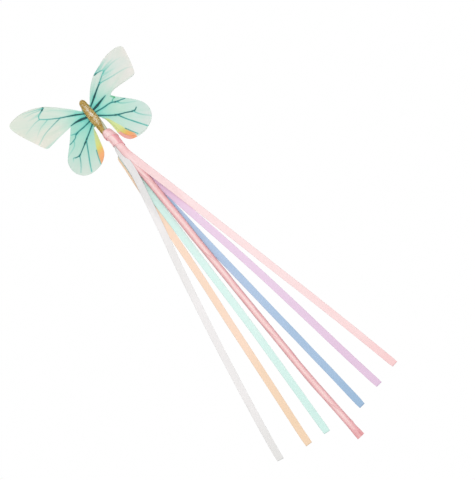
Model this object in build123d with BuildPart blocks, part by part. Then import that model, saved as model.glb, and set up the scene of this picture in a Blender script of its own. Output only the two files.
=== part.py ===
from build123d import *
import math
import os

# A butterfly-topped ribbon wand, lying flat, front face up.
# Frame: origin at the centre of the stick's foot end, +Y from the foot towards
# the butterfly, +Z up out of the table, +X to the right of that. Millimetres.

# ---- stick and its satin wrap ------------------------------------------------
dowel_d = 5.0                # wooden stick
wrap_d = 6.0                 # over its satin wrap
wrap_gap = 0.03              # glue line between stick and wrap
fold_length = 7.5            # solid satin fold at the stick's foot
fold_gap = 0.05              # between the fold and the wood
stick_foot = (0.0, 0.0)
stick_bend = (-1.75, 66.0)   # the stick is very slightly bowed here
stick_top = (1.0, 314.5)
bend_radius = 700.0
wrap_top_y = 312.0
trim_r, trim_depth = 8.0, 10.0   # cutter that trims the stick and wrap ends

# ---- neck binding and the glue inside it -------------------------------------
# stations from the top down: y, centre x, radius along x, radius along z
binding_stations = (
    (322.4, -0.30, 4.25, 4.30),
    (317.0, 0.05, 4.75, 4.75),
    (312.0, 0.95, 4.60, 4.75),
    (306.5, 0.75, 4.30, 4.75),
    (299.2, 0.65, 4.20, 4.75),
)
binding_wall = 0.35
bore_overrun = 0.2           # the bore runs this far past each end
plug_gap = 0.06              # between the plug and the bore
plug_bottom_y, plug_top_y = 304.0, 319.6
hole_end_gap = 0.1           # above the wrap and the stick in the plug
wrap_hole_x, wrap_hole_gap = 0.93, 0.14
dowel_hole_x, dowel_hole_gap = 0.99, 0.08
tail_hole_gap = 0.08

# ---- butterfly body ----------------------------------------------------------
body_head = (-0.45, 353.9)   # top of the head, on the body axis
body_tilt = 4.3              # degrees the body leans from the stick
body_z = 1.70                # height of the body axis
# distance below the top of the head, radius
body_profile = (
    (0.0, 0.0), (0.7, 1.7), (2.2, 2.6), (4.0, 2.75), (6.0, 2.95), (9.5, 3.5),
    (13.5, 3.95), (17.0, 3.95), (20.5, 3.3), (24.0, 2.4), (28.5, 1.6), (30.2, 1.3),
)
tail_tip = (-1.4, 315.6, 1.0)
tail_tip_r = 0.8

# ---- printed sheets ----------------------------------------------------------
crease = 4.2                 # distance of each wing crease from the body axis
crease_top = 6.6             # how far below the head a crease starts
right_lean = 8.5             # degrees the right crease leans out lower down, clear of the tie
turn_centre = 5.4            # a sheet is turned about this far below its crease top
wing_t = 0.30                # one printed sheet
sheet_z = -2.95              # height of the plane between the two sheets at the body
sheet_half_gap = 0.05        # from that plane to each sheet
upper_lift = sheet_half_gap              # underside of the upper sheet
under_lift = -sheet_half_gap - wing_t    # underside of the under sheet
dihedral = 7.0               # degrees each wing rises at rest

wing_root_gap = 0.5          # plate starts this far outside the crease
root_drop = 0.2              # plate starts this far below the fore outline's first point
fore_clear = 0.4             # outline points nearer the root edge than this are skipped
hind_clear = 0.25

# glue bead between the sheets and the body
bead_gap = 0.02              # above the upper sheet
bead_length, bead_w, bead_h = 15.0, 3.2, 1.2
bead_down = 15.0             # its middle, below the top of the head
bead_body_gap = 0.03

# ---- ribbons -----------------------------------------------------------------
ribbon_w = 6.0
ribbon_t = 0.20
root_w = 2.4                 # gathered width at the tie
gather = 13.0                # length over which a ribbon opens to its full width
tie_x, tie_y = 0.6, 298.6    # the point the ribbons swing about
level_gap = 0.05             # between one ribbon and the next
level_step = ribbon_t + level_gap
low_z = -3.30                # underside of the highest ribbon below the stick
high_z = 3.10                # underside of the lowest ribbon above the stick
drop_start, drop_end = 24.0, 78.0   # radii over which the top ribbons come down
disc_r = 300.0               # reaches past every ribbon's end

# ---- wing outlines -----------------------------------------------------------
# x, y of each lobe seen from above: fore lobes run from the crease out and round
# to the notch between the lobes, hind lobes from the notch back to the crease.
left_fore = [
    (-5.75, 348.0), (-10.51, 353.48), (-16.22, 359.53), (-22.15, 365.33), (-26.49, 368.9),
    (-30.19, 371.18), (-36.44, 374.01), (-43.37, 376.0), (-49.56, 376.4), (-54.2, 375.95),
    (-56.9, 375.0), (-58.0, 373.4), (-58.1, 370.57), (-56.75, 365.12), (-54.43, 358.88),
    (-51.46, 352.11), (-48.87, 346.18), (-47.23, 342.98), (-45.65, 341.1), (-43.85, 340.6),
    (-39.93, 341.3), (-33.85, 342.2), (-28.02, 342.75), (-23.63, 342.95), (-20.14, 343.21),
]
left_hind = [
    (-20.14, 343.21), (-22.91, 340.15), (-26.28, 336.5), (-30.3, 332.4), (-33.98, 328.93),
    (-37.5, 325.4), (-40.06, 322.1), (-41.36, 318.4), (-41.4, 313.69), (-39.83, 309.27),
    (-36.65, 305.5), (-32.84, 303.5), (-27.92, 302.8), (-22.68, 303.2), (-19.0, 304.3),
    (-15.38, 306.8), (-12.75, 309.56), (-11.06, 313.05), (-9.61, 317.76), (-8.2, 322.6),
    (-7.0, 327.2),
]
right_fore = [
    (4.1, 348.4), (6.95, 351.84), (10.97, 356.02), (14.78, 359.3), (18.4, 361.9),
    (21.6, 363.5), (26.0, 365.05), (31.13, 366.7), (36.27, 368.1), (40.92, 368.85),
    (45.32, 368.9), (49.18, 368.3), (51.9, 367.3), (53.4, 365.9), (53.68, 363.6),
    (52.88, 359.82), (51.82, 355.32), (50.5, 350.51), (48.86, 345.96), (47.8, 343.7),
    (46.34, 342.6), (43.78, 342.4), (39.76, 342.79), (34.73, 343.35), (29.97, 343.85),
    (25.84, 343.9), (23.25, 343.5), (21.18, 342.4),
]
right_hind = [
    (21.18, 342.4), (23.67, 338.98), (27.3, 334.8), (30.87, 330.75), (34.5, 326.5),
    (37.0, 322.7), (38.6, 318.92), (39.0, 314.85), (38.0, 310.93), (36.02, 307.7),
    (33.19, 305.2), (29.54, 303.3), (25.25, 302.25), (20.86, 302.0), (17.0, 302.55),
    (12.8, 303.9), (9.4, 306.1), (7.4, 309.1), (6.45, 313.05), (6.21, 318.03),
    (6.1, 323.0), (5.6, 327.8), (4.7, 331.0), (3.6, 333.4),
]

# name: side (-1 left, 1 right), fore lobe, hind lobe, lift of the sheet's underside,
# turn in degrees, shift (out from the crease, up along it)
wings = {
    "left_wing_upper": (-1, left_fore, left_hind, upper_lift, 0.0, (0.0, 0.0)),
    "left_wing_under": (-1, left_fore, left_hind, under_lift, 0.7, (-0.3, -0.2)),
    "right_wing_upper": (1, right_fore, right_hind, upper_lift, 0.0, (0.0, 0.0)),
    "right_wing_under": (1, right_fore, right_hind, under_lift, -1.0, (-0.2, -0.5)),
}

# The strip of sheet between the creases: x right of the body axis, y from the top
# of the head. Its right edge follows the leaning crease, then the sheet's own
# lower margin.
centre_half = crease - 0.25
centre_outline = [
    (-centre_half, -5.5), (-2.4, -3.2), (0, -2.6), (2.4, -3.2), (3.75, -5.5),
    (6.05, -20.8), (5.35, -20.1), (4.45, -18.95), (3.9, -18.4),
    (3.5, -23.5), (3.2, -30.6), (-1.5, -30.8), (-2.2, -27.5), (-centre_half, -24.0),
]

# ---- ribbon centre lines -----------------------------------------------------
# x, y on the table, from the tie down
low_ribbons = {     # below the stick, top level first
    "ribbon_mint": [
        (-0.5, 291.0), (-2.8, 278.0), (-4.8, 258.0), (-6.1, 235.0), (-7.4, 210.0),
        (-8.4, 188.1), (-9.4, 166.2), (-10.5, 144.4), (-11.65, 122.5), (-13.15, 100.65),
        (-14.7, 78.8), (-16.3, 56.9), (-17.9, 35.07), (-18.9, 19.9),
    ],
    "ribbon_lilac": [
        (1.5, 291.0), (3.1, 278.0), (5.7, 258.6), (8.8, 239.2), (13.6, 210.1),
        (17.1, 187.7), (20.4, 165.4), (23.3, 143.1), (26.1, 120.8), (28.8, 98.5),
        (31.4, 76.3), (34.1, 53.9), (37.0, 31.7), (38.3, 22.8),
    ],
    "ribbon_blue": [
        (0.65, 290.0), (0.85, 275.0), (1.6, 255.0), (2.5, 237.0), (3.9, 210.0),
        (5.2, 190.0), (6.5, 171.1), (7.8, 151.7), (9.1, 132.3), (10.4, 112.8),
        (11.8, 94.0), (13.1, 74.0), (14.5, 54.6), (15.75, 33.5), (16.7, 18.2),
    ],
    "ribbon_peach": [
        (-1.1, 291.0), (-5.6, 278.0), (-9.2, 258.0), (-11.9, 235.0), (-14.4, 210.0),
        (-16.8, 188.1), (-19.4, 166.2), (-22.15, 144.4), (-24.7, 122.5), (-27.25, 100.6),
        (-29.85, 78.8), (-32.5, 56.9), (-35.2, 35.04), (-36.5, 21.8),
    ],
}
high_ribbons = {    # start above the stick, bottom level first
    "ribbon_white": [
        (-2.3, 292.4), (-4.15, 285.5), (-5.6, 278.0), (-7.6, 268.4), (-9.9, 258.6),
        (-17.2, 229.4), (-24.7, 202.7), (-31.4, 174.7), (-38.0, 146.9), (-44.2, 118.9),
        (-50.2, 91.0), (-55.8, 63.0), (-61.1, 35.1), (-62.3, 26.8),
    ],
    "ribbon_pink": [
        (2.35, 292.0), (4.35, 285.0), (6.5, 277.5), (10.4, 258.6), (16.4, 229.5),
        (22.3, 202.7), (28.3, 174.75), (34.2, 146.7), (40.3, 118.8), (46.1, 90.9),
        (51.8, 62.85), (57.2, 34.93), (58.7, 27.2),
    ],
}

# ---- shared helpers ----------------------------------------------------------
tilt = math.radians(body_tilt)
axis_dir = (math.sin(tilt), math.cos(tilt))      # from tail to head
side_dir = (math.cos(tilt), -math.sin(tilt))     # to the right of the body


def across(y):
    """Plane square to Y: local x is +X, local y is +Z, normal towards the foot."""
    return Plane.XZ.offset(-y)


def rotated(point, degrees):
    """A 2D point turned anticlockwise about the origin."""
    angle = math.radians(degrees)
    x, y = point
    return (x * math.cos(angle) - y * math.sin(angle),
            x * math.sin(angle) + y * math.cos(angle))


def body_point(down, right=0.0):
    """World x, y of a place below the top of the head and right of the body axis."""
    return (body_head[0] + right * side_dir[0] - down * axis_dir[0],
            body_head[1] + right * side_dir[1] - down * axis_dir[1])


def body_plane(z):
    """Level plane at z, from the top of the head, its y along the body axis."""
    return Plane(origin=(*body_head, z), x_dir=(*side_dir, 0), z_dir=(0, 0, 1))


# ---- stick and wrap ----------------------------------------------------------
def stick_line():
    """Centre line of the stick, foot to top, drawn in the open BuildLine."""
    return FilletPolyline(
        (*stick_foot, 0), (*stick_bend, 0), (*stick_top, 0), radius=bend_radius
    )


def make_dowel():
    with BuildPart() as dowel:
        with BuildLine() as path:
            stick_line()
        with BuildSketch(Plane(origin=path.line @ 0, z_dir=path.line % 0)):
            Circle(dowel_d / 2)
        sweep(path=path.line)
        # the stick stops short of the folded satin at the foot
        with BuildSketch(across(fold_length + fold_gap)):
            Circle(trim_r)
        extrude(amount=trim_depth, mode=Mode.SUBTRACT)
    return dowel.part


def make_stick_wrap():
    bore_r = dowel_d / 2 + wrap_gap
    with BuildPart() as wrap:
        with BuildLine() as path:
            stick_line()
        foot = Plane(origin=path.line @ 0, z_dir=path.line % 0)
        with BuildSketch(foot):
            Circle(wrap_d / 2)
        sweep(path=path.line)
        with BuildSketch(foot):
            Circle(bore_r)
        sweep(path=path.line, mode=Mode.SUBTRACT)
        # the fold at the foot is solid satin
        with BuildSketch(foot):
            Circle(bore_r)
        extrude(amount=fold_length)
        # the wrap stops inside the neck binding, a little below the stick's top
        with BuildSketch(across(wrap_top_y)):
            Circle(trim_r)
        extrude(amount=-trim_depth, mode=Mode.SUBTRACT)
    return wrap.part


# ---- neck binding and plug ---------------------------------------------------
def bore_stations(gap=0.0):
    """Stations of the binding's bore, less a gap, run past both ends."""
    rows = []
    last = len(binding_stations) - 1
    for i, (y, x, rx, rz) in enumerate(binding_stations):
        overrun = {0: bore_overrun, last: -bore_overrun}.get(i, 0.0)
        rows.append((y + overrun, x, rx - binding_wall - gap, rz - binding_wall - gap))
    return rows


def tail_sections(grow=0.0):
    """x, y, z and radius of the two ends of the body's tail."""
    down, radius = body_profile[-1]
    tip_x, tip_y, tip_z = tail_tip
    return ((*body_point(down), body_z, radius + grow),
            (tip_x, tip_y - grow, tip_z, tail_tip_r + grow))


def make_neck_binding():
    """Turns of satin round the tie, drawn as one sleeve."""
    with BuildPart() as binding:
        for stations, mode in ((binding_stations, Mode.ADD), (bore_stations(), Mode.SUBTRACT)):
            for y, x, rx, rz in stations:
                with BuildSketch(across(y)):
                    with Locations((x, 0)):
                        Ellipse(rx, rz)
            loft(mode=mode)
    return binding.part


def make_neck_glue():
    """Hot-melt plug inside the binding."""
    # y of the cut's start, centre x, radius, length (positive runs towards the foot)
    cuts = (
        # it stops short of both ends of the sleeve
        (plug_top_y, 0, 9, -12),
        (plug_bottom_y, 0, 9, 12),
        # room for the wrapped stick, then for its bare top
        (wrap_top_y + hole_end_gap, wrap_hole_x, wrap_d / 2 + wrap_hole_gap, 20),
        (stick_top[1] + hole_end_gap, dowel_hole_x, dowel_d / 2 + dowel_hole_gap, 20),
    )
    with BuildPart() as plug:
        for y, x, rx, rz in bore_stations(plug_gap):
            with BuildSketch(across(y)):
                with Locations((x, 0)):
                    Ellipse(rx, rz)
        loft()
        for y, x, radius, length in cuts:
            with BuildSketch(across(y)):
                with Locations((x, 0)):
                    Circle(radius)
            extrude(amount=length, mode=Mode.SUBTRACT)
        # room for the tail of the body
        for x, y, z, radius in tail_sections(tail_hole_gap):
            with BuildSketch(across(y)):
                with Locations((x, z)):
                    Circle(radius)
        loft(mode=Mode.SUBTRACT)
    return plug.part


# ---- butterfly body and its glue ---------------------------------------------
body_axis = Axis((*body_head, body_z), (*axis_dir, 0))


def draw_body_half(grow=0.0):
    """Right half of the body's outline, grown a little, in the open BuildLine."""
    points = [(0.0, grow)] + [(radius + grow, -down) for down, radius in body_profile[1:]]
    tail_y = points[-1][1]
    Spline(points, tangents=[(1, 0.0), (-0.1, -1)])
    Line(points[-1], (0, tail_y))
    Line((0, tail_y), (0, grow))


def make_butterfly_body():
    with BuildPart() as body:
        with BuildSketch(body_plane(body_z)):
            with BuildLine():
                draw_body_half()
            make_face()
        revolve(axis=body_axis, revolution_arc=360)
        # the tail runs down into the binding
        for x, y, z, radius in tail_sections():
            with BuildSketch(across(y)):
                with Locations((x, z)):
                    Circle(radius)
        loft()
    return body.part


def make_body_glue():
    """Glue bead that holds the body down on the sheets."""
    with BuildPart() as bead:
        with BuildSketch(body_plane(sheet_z + upper_lift + wing_t + bead_gap)):
            with Locations((0, -bead_down)):
                SlotOverall(bead_length, bead_w, rotation=90)
        extrude(amount=bead_h)
        with BuildSketch(body_plane(body_z)):
            with BuildLine():
                draw_body_half(bead_body_gap)
            make_face()
        revolve(axis=body_axis, revolution_arc=360, mode=Mode.SUBTRACT)
    return bead.part


# ---- printed sheets ----------------------------------------------------------
# Fore and hind lobes of one side are one sheet; each butterfly is two sheets
# deep. The sheets bend at a crease each side of the body.
def crease_frame(side):
    """Upper end of one wing's crease, the way out from it, and the way up along it."""
    lean = right_lean if side > 0 else 0.0
    right_x, right_y = rotated(side_dir, lean)
    out = (side * right_x, side * right_y)
    return body_point(crease_top, side * crease), out, rotated(axis_dir, lean)


def wing_plane(side, lift):
    """Plane of one wing: x outwards from the crease, z its upper face's normal."""
    rise = math.radians(dihedral)
    start, out, _ = crease_frame(side)
    normal = Vector(-out[0] * math.sin(rise), -out[1] * math.sin(rise), math.cos(rise))
    outward = Vector(out[0] * math.cos(rise), out[1] * math.cos(rise), math.sin(rise))
    return Plane(origin=Vector(*start, sheet_z) + normal * lift, x_dir=outward, z_dir=normal)


def wing_points(outline, side, turn, shift):
    """Outline points in the wing's own plane, turned a little about the root.
    That plane's y runs towards the head on the right and the tail on the left."""
    start, out, along = crease_frame(side)
    points = []
    for x, y in outline:
        dx, dy = x - start[0], y - start[1]
        width = (dx * out[0] + dy * out[1]) / math.cos(math.radians(dihedral))
        height = dx * along[0] + dy * along[1] + turn_centre
        width, height = rotated((width, height), turn)
        points.append((width + shift[0], side * (height - turn_centre + shift[1])))
    return points


def root_crossing(points):
    """Where an outline that runs in towards the crease first meets the root edge."""
    for (x1, y1), (x2, y2) in zip(points, points[1:]):
        if x1 > wing_root_gap >= x2:
            return (wing_root_gap, y1 + (y2 - y1) * (x1 - wing_root_gap) / (x1 - x2))


def make_wing(side, fore, hind, lift, turn, shift):
    fore_points = wing_points(fore, side, turn, shift)
    hind_points = wing_points(hind, side, turn, shift)
    top = (wing_root_gap, fore_points[0][1] - root_drop * side)
    end = root_crossing(hind_points)
    notch = fore_points[-1]
    fore_middle = [p for p in fore_points[1:-1] if p[0] > wing_root_gap + fore_clear]
    hind_middle = [p for p in hind_points[1:] if p[0] > wing_root_gap + hind_clear]
    with BuildPart() as wing:
        with BuildSketch(wing_plane(side, lift)):
            with BuildLine():
                Spline([top, *fore_middle, notch])
                Spline([notch, *hind_middle, end])
                Line(end, top)
            make_face()
        extrude(amount=wing_t)
    return wing.part


def make_centre(lift):
    """Strip of one sheet between the creases, under the body."""
    with BuildPart() as centre:
        with BuildSketch(body_plane(sheet_z + lift)):
            with BuildLine():
                Polyline(*centre_outline, close=True)
            make_face()
        extrude(amount=wing_t)
    return centre.part


# ---- ribbons -----------------------------------------------------------------
def draw_ribbon(centre_line):
    """Outline of a ribbon opening from its gathered root, in the open BuildLine."""
    points = [(tie_x, tie_y), *centre_line]
    left, right = [], []
    travelled = 0.0
    for i, (x, y) in enumerate(points):
        before, after = points[max(i - 1, 0)], points[min(i + 1, len(points) - 1)]
        dx, dy = after[0] - before[0], after[1] - before[1]
        length = math.hypot(dx, dy)
        if i:
            travelled += math.hypot(x - before[0], y - before[1])
        opened = min(travelled / gather, 1.0)
        smooth = opened * opened * (3 - 2 * opened)
        half = (root_w + (ribbon_w - root_w) * smooth) / 2
        left.append((x + dy / length * half, y - dx / length * half))
        right.append((x - dy / length * half, y + dx / length * half))
    # the rounded root reaches back past the tie
    dx, dy = points[1][0] - tie_x, points[1][1] - tie_y
    length = math.hypot(dx, dy)
    crown = (tie_x - dx / length * root_w / 2, tie_y - dy / length * root_w / 2)
    Spline(left)
    Line(left[-1], right[-1])
    Spline(right[::-1])
    ThreePointArc(right[0], crown, left[0])


def make_low_ribbon(centre_line, level):
    with BuildPart() as ribbon:
        with BuildSketch(Plane.XY.offset(low_z - level * level_step)):
            with BuildLine():
                draw_ribbon(centre_line)
            make_face()
        extrude(amount=ribbon_t)
    return ribbon.part


def make_high_ribbon(centre_line, level):
    z_start = high_z + level * level_step
    z_end = low_z + (level + 1) * level_step
    rim_x = tie_x + disc_r
    with BuildPart() as ribbon:
        # a disc that starts above the stick and comes down to the table
        with BuildSketch(across(tie_y)):
            with BuildLine():
                for lift in (0.0, ribbon_t):
                    drop_from = (tie_x + drop_start, z_start + lift)
                    drop_to = (tie_x + drop_end, z_end + lift)
                    Line((tie_x, z_start + lift), drop_from)
                    Spline([drop_from, drop_to], tangents=[(1, 0), (1, 0)],
                           tangent_scalars=[1.0, 1.0])
                    Line(drop_to, (rim_x, z_end + lift))
                Line((tie_x, z_start), (tie_x, z_start + ribbon_t))
                Line((rim_x, z_end), (rim_x, z_end + ribbon_t))
            make_face()
        revolve(axis=Axis((tie_x, tie_y, 0), (0, 0, 1)), revolution_arc=360)
        # cut to the ribbon's own outline, through the disc's full height
        with BuildSketch(Plane.XY.offset(-10)):
            with BuildLine():
                draw_ribbon(centre_line)
            make_face()
        extrude(amount=20, mode=Mode.INTERSECT)
    return ribbon.part


# ---- build and write the pieces ----------------------------------------------
pieces = {
    "dowel": make_dowel(),
    "stick_wrap": make_stick_wrap(),
    "neck_binding": make_neck_binding(),
    "neck_glue": make_neck_glue(),
    "butterfly_body": make_butterfly_body(),
    "body_glue": make_body_glue(),
    "centre_upper": make_centre(upper_lift),
    "centre_under": make_centre(under_lift),
}
for name, wing_values in wings.items():
    pieces[name] = make_wing(*wing_values)
for level, (name, centre_line) in enumerate(low_ribbons.items()):
    pieces[name] = make_low_ribbon(centre_line, level)
for level, (name, centre_line) in enumerate(high_ribbons.items()):
    pieces[name] = make_high_ribbon(centre_line, level)

os.makedirs("parts", exist_ok=True)
for name, piece in pieces.items():
    piece.label = name
    export_step(piece, f"parts/{name}.step")
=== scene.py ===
"""A ribbon wand: a satin-wrapped stick, six satin ribbons and a printed butterfly.

The wand lies face up on a pale floor. Its stick runs along +Y from the foot near the
origin, +X is to the right and +Z points at the viewer. Shapes are worked out in
millimetres and stored in metres; lights and camera are in metres.
"""
import math

import bmesh
import bpy
import numpy as np
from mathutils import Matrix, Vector
from mathutils.geometry import delaunay_2d_cdt


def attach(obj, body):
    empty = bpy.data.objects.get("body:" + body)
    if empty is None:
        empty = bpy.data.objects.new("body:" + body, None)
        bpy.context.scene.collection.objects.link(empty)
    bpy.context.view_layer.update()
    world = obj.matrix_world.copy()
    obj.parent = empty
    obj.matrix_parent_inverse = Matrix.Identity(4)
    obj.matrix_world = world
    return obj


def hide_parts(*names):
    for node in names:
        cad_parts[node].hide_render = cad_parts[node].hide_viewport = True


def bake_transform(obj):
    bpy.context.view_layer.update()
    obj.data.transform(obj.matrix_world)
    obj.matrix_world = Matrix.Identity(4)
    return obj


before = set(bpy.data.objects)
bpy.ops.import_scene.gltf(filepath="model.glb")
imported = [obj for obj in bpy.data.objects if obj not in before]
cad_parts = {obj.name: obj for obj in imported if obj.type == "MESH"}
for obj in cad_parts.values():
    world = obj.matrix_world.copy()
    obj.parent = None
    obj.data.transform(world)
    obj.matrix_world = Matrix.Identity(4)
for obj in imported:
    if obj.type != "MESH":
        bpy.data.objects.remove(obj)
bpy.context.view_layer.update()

MM = 0.001
FLOOR_Z = -4.90
UV_PER_MM = 0.02
TIE = (0.6, 298.6)          # middle of the knot the ribbons spread from

# ------------------------------------------------------------------ numbers and curves


def linear(tone):
    """sRGB 0-255 to linear."""
    tone = np.asarray(tone, float) / 255.0
    return np.where(tone <= 0.04045, tone / 12.92, ((tone + 0.055) / 1.055) ** 2.4)


def ease(amount):
    """Smooth step from 0 to 1."""
    amount = np.clip(amount, 0.0, 1.0)
    return amount * amount * (3 - 2 * amount)


def bell(value, centre, width):
    return np.exp(-((value - centre) / width) ** 2)


def lerp(first, second, amount):
    return first * (1 - amount) + second * amount


def signed(angle):
    """An angle brought into -pi..pi."""
    return np.angle(np.exp(1j * angle))


def cell(value):
    """Whole part, and the eased remainder."""
    whole = np.floor(value).astype(int)
    part = value - whole
    return whole, part * part * (3 - 2 * part)


def noise_line(x, seed, octaves):
    """Smooth seeded 1D noise in about -1..1."""
    rng = np.random.RandomState(seed)
    total, norm = np.zeros_like(x, float), 0.0
    for octave in range(octaves):
        table = rng.uniform(-1, 1, 4096)
        i, part = cell(x * 2 ** octave + rng.uniform(0, 50))
        total += 0.5 ** octave * lerp(table[i % 4096], table[(i + 1) % 4096], part)
        norm += 0.5 ** octave
    return total / norm


def noise_field(x, y, seed, octaves):
    """Smooth seeded 2D noise in about -1..1."""
    rng = np.random.RandomState(seed)
    total, norm = np.zeros_like(x, float), 0.0
    for octave in range(octaves):
        table = rng.uniform(-1, 1, (256, 256))
        shift_x, shift_y = rng.uniform(0, 50, 2)
        i, part_x = cell(x * 2 ** octave + shift_x)
        j, part_y = cell(y * 2 ** octave + shift_y)
        near = lerp(table[i % 256, j % 256], table[(i + 1) % 256, j % 256], part_x)
        far = lerp(table[i % 256, (j + 1) % 256], table[(i + 1) % 256, (j + 1) % 256], part_x)
        total += 0.5 ** octave * lerp(near, far, part_y)
        norm += 0.5 ** octave
    return total / norm


def arc_length(points):
    return np.concatenate([[0], np.cumsum(np.linalg.norm(np.diff(points, axis=0), axis=1))])


def catmull(points, step):
    """Evenly spaced samples of a Catmull-Rom curve through the points."""
    knots = [np.array(point, float) for point in points]
    knots = [2 * knots[0] - knots[1]] + knots + [2 * knots[-1] - knots[-2]]
    curve = []
    for i in range(1, len(knots) - 2):
        before, start, end, after = knots[i - 1:i + 3]
        for k in range(24):
            t = k / 24
            curve.append(0.5 * (2 * start + (end - before) * t
                                + (2 * before - 5 * start + 4 * end - after) * t * t
                                + (3 * start - before - 3 * end + after) * t ** 3))
    curve = np.array(curve + [knots[-2]])
    along = arc_length(curve)
    count = max(int(round(along[-1] / step)), 2)
    wanted = np.linspace(0, along[-1], count + 1)
    return np.stack([np.interp(wanted, along, curve[:, k]) for k in range(2)], 1)


# ------------------------------------------------------------------ meshes


def give(ob, material):
    ob.data.materials.clear()
    ob.data.materials.append(material)


def make_mesh(name, verts, faces, material, attributes=None, uv=None, smooth=True):
    """A mesh object from millimetre coordinates."""
    mesh = bpy.data.meshes.new(name)
    mesh.from_pydata([tuple(vert) for vert in np.asarray(verts, float) * MM], [],
                     [tuple(int(i) for i in face) for face in faces])
    mesh.validate()
    solid = bmesh.new()
    solid.from_mesh(mesh)
    bmesh.ops.recalc_face_normals(solid, faces=solid.faces)
    solid.to_mesh(mesh)
    solid.free()
    for key, values in (attributes or {}).items():
        values = np.asarray(values, np.float32)
        if values.ndim == 1:
            mesh.attributes.new(key, "FLOAT", "POINT").data.foreach_set("value", values)
        else:
            rgba = np.ones((len(values), 4), np.float32)
            rgba[:, :3] = values
            layer = mesh.attributes.new(key, "FLOAT_COLOR", "POINT")
            layer.data.foreach_set("color", rgba.ravel())
    if uv is not None:
        layer = mesh.uv_layers.new(name="Satin")
        corners = np.zeros(len(mesh.loops), np.int32)
        mesh.loops.foreach_get("vertex_index", corners)
        layer.data.foreach_set("uv", np.asarray(uv, np.float32)[corners].ravel())
    if smooth:
        mesh.polygons.foreach_set("use_smooth", np.ones(len(mesh.polygons), bool))
    ob = bpy.data.objects.new(name, mesh)
    bpy.context.scene.collection.objects.link(ob)
    mesh.update()
    give(ob, material)
    return ob


def cloth_mesh(name, verts, faces, material, across, along, shade, tone, half_width):
    """A satin mesh: across is -1..1, along is in mm, shade and tone are 0..1."""
    attributes = {"rib_u": across, "rib_v": along, "rib_s": shade, "rib_t": tone}
    uv = np.stack([across * half_width, along], 1) * UV_PER_MM
    return make_mesh(name, verts, faces, material, attributes, uv)


def tube_grid(heights, segments):
    """Height and angle grids of a tube; angle 0 faces +Z and a quarter turn faces +X."""
    angles = np.linspace(0, 2 * np.pi, segments, endpoint=False)
    return np.meshgrid(heights, angles, indexing="ij")


def tube(rings, segments):
    """Quads that join each numbered ring to the next."""
    rings = list(rings)
    faces = []
    for lower, upper in zip(rings, rings[1:]):
        low, high = lower * segments, upper * segments
        for j in range(segments):
            k = (j + 1) % segments
            faces.append((low + j, low + k, high + k, high + j))
    return faces


def cap(ring, segments):
    return tuple(range(ring * segments, (ring + 1) * segments))


def capped_tube(rings, segments):
    return tube(range(rings), segments) + [cap(0, segments)[::-1], cap(rings - 1, segments)]


# ------------------------------------------------------------------ shader helpers


class Shader:
    """A material's or world's node tree, with short calls for the nodes used here."""

    def __init__(self, owner, output="OutputMaterial"):
        self.owner = owner
        owner.use_nodes = True
        self.tree = owner.node_tree
        self.tree.nodes.clear()
        self.output = self.node(output)

    def feed(self, socket, value):
        """Link a socket, or set a plain value."""
        if isinstance(value, bpy.types.NodeSocket):
            self.tree.links.new(value, socket)
        elif socket.type == "RGBA":
            socket.default_value = (*value, 1.0)
        else:
            socket.default_value = value

    def node(self, kind, inputs=None, **settings):
        node = self.tree.nodes.new("ShaderNode" + kind)
        for name, value in settings.items():
            setattr(node, name, value)
        for key, value in (inputs or {}).items():
            self.feed(node.inputs[key], value)
        return node

    def attribute(self, name, output="Fac"):
        return self.node("Attribute", attribute_name=name).outputs[output]

    def object_space(self):
        return self.node("TexCoord").outputs["Object"]

    def math(self, operation, *values, clamp=False):
        inputs = dict(enumerate(values))
        return self.node("Math", inputs, operation=operation, use_clamp=clamp).outputs[0]

    def times(self, first, second, clamp=False):
        return self.math("MULTIPLY", first, second, clamp=clamp)

    def scaled(self, value, gain, offset):
        return self.math("ADD", self.times(value, gain), offset)

    def above(self, value, level, gain):
        """How far a value rises over a level, times a gain, within 0..1."""
        return self.times(self.math("SUBTRACT", value, level, clamp=True), gain, clamp=True)

    def combine(self, x, y):
        return self.node("CombineXYZ", {0: x, 1: y}).outputs[0]

    def mix(self, amount, first, second, blend="MIX"):
        # a Mix node's colour inputs are sockets 6 and 7, its colour output is 2
        inputs = {0: amount, 6: first, 7: second}
        return self.node("Mix", inputs, data_type="RGBA", blend_type=blend).outputs[2]

    def tint(self, amount, base, factor):
        """Shift a colour toward itself times a factor."""
        return self.mix(amount, base, self.mix(1.0, base, factor, "MULTIPLY"))

    def ramp(self, value, stops, interpolation="LINEAR"):
        node = self.node("ValToRGB", {0: value})
        ramp = node.color_ramp
        ramp.interpolation = interpolation
        ramp.elements.remove(ramp.elements[-1])
        ramp.elements[0].position = stops[0][0]
        ramp.elements[0].color = (*stops[0][1], 1)
        for position, colour in stops[1:]:
            ramp.elements.new(position).color = (*colour, 1)
        return node.outputs[0]

    def noise(self, scale, detail, vector):
        inputs = {"Scale": scale, "Detail": detail, "Vector": vector}
        return self.node("TexNoise", inputs).outputs["Fac"]

    def bump(self, height, strength, distance):
        inputs = {"Height": height, "Strength": strength, "Distance": distance}
        return self.node("Bump", inputs).outputs[0]

    def principled(self, colour, roughness, more):
        inputs = {"Base Color": colour, "Roughness": roughness, **more}
        return self.node("BsdfPrincipled", inputs).outputs[0]

    def mix_shader(self, amount, first, second):
        return self.node("MixShader", {0: amount, 1: first, 2: second}).outputs[0]

    def thin(self, surface, colour, share):
        """Let a share of the light through a thin sheet."""
        through = self.node("BsdfTranslucent", {"Color": colour}).outputs[0]
        return self.mix_shader(share, surface, through)

    def split_for_lens(self, for_bounces, for_lens):
        """One look for bounced light, another for what the lens sees directly."""
        path = self.node("LightPath")
        return self.mix_shader(path.outputs["Is Camera Ray"], for_bounces, for_lens)

    def finish(self, surface):
        self.feed(self.output.inputs["Surface"], surface)
        return self.owner


def new_shader(name):
    return Shader(bpy.data.materials.new(name))


# ------------------------------------------------------------------ satin

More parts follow.
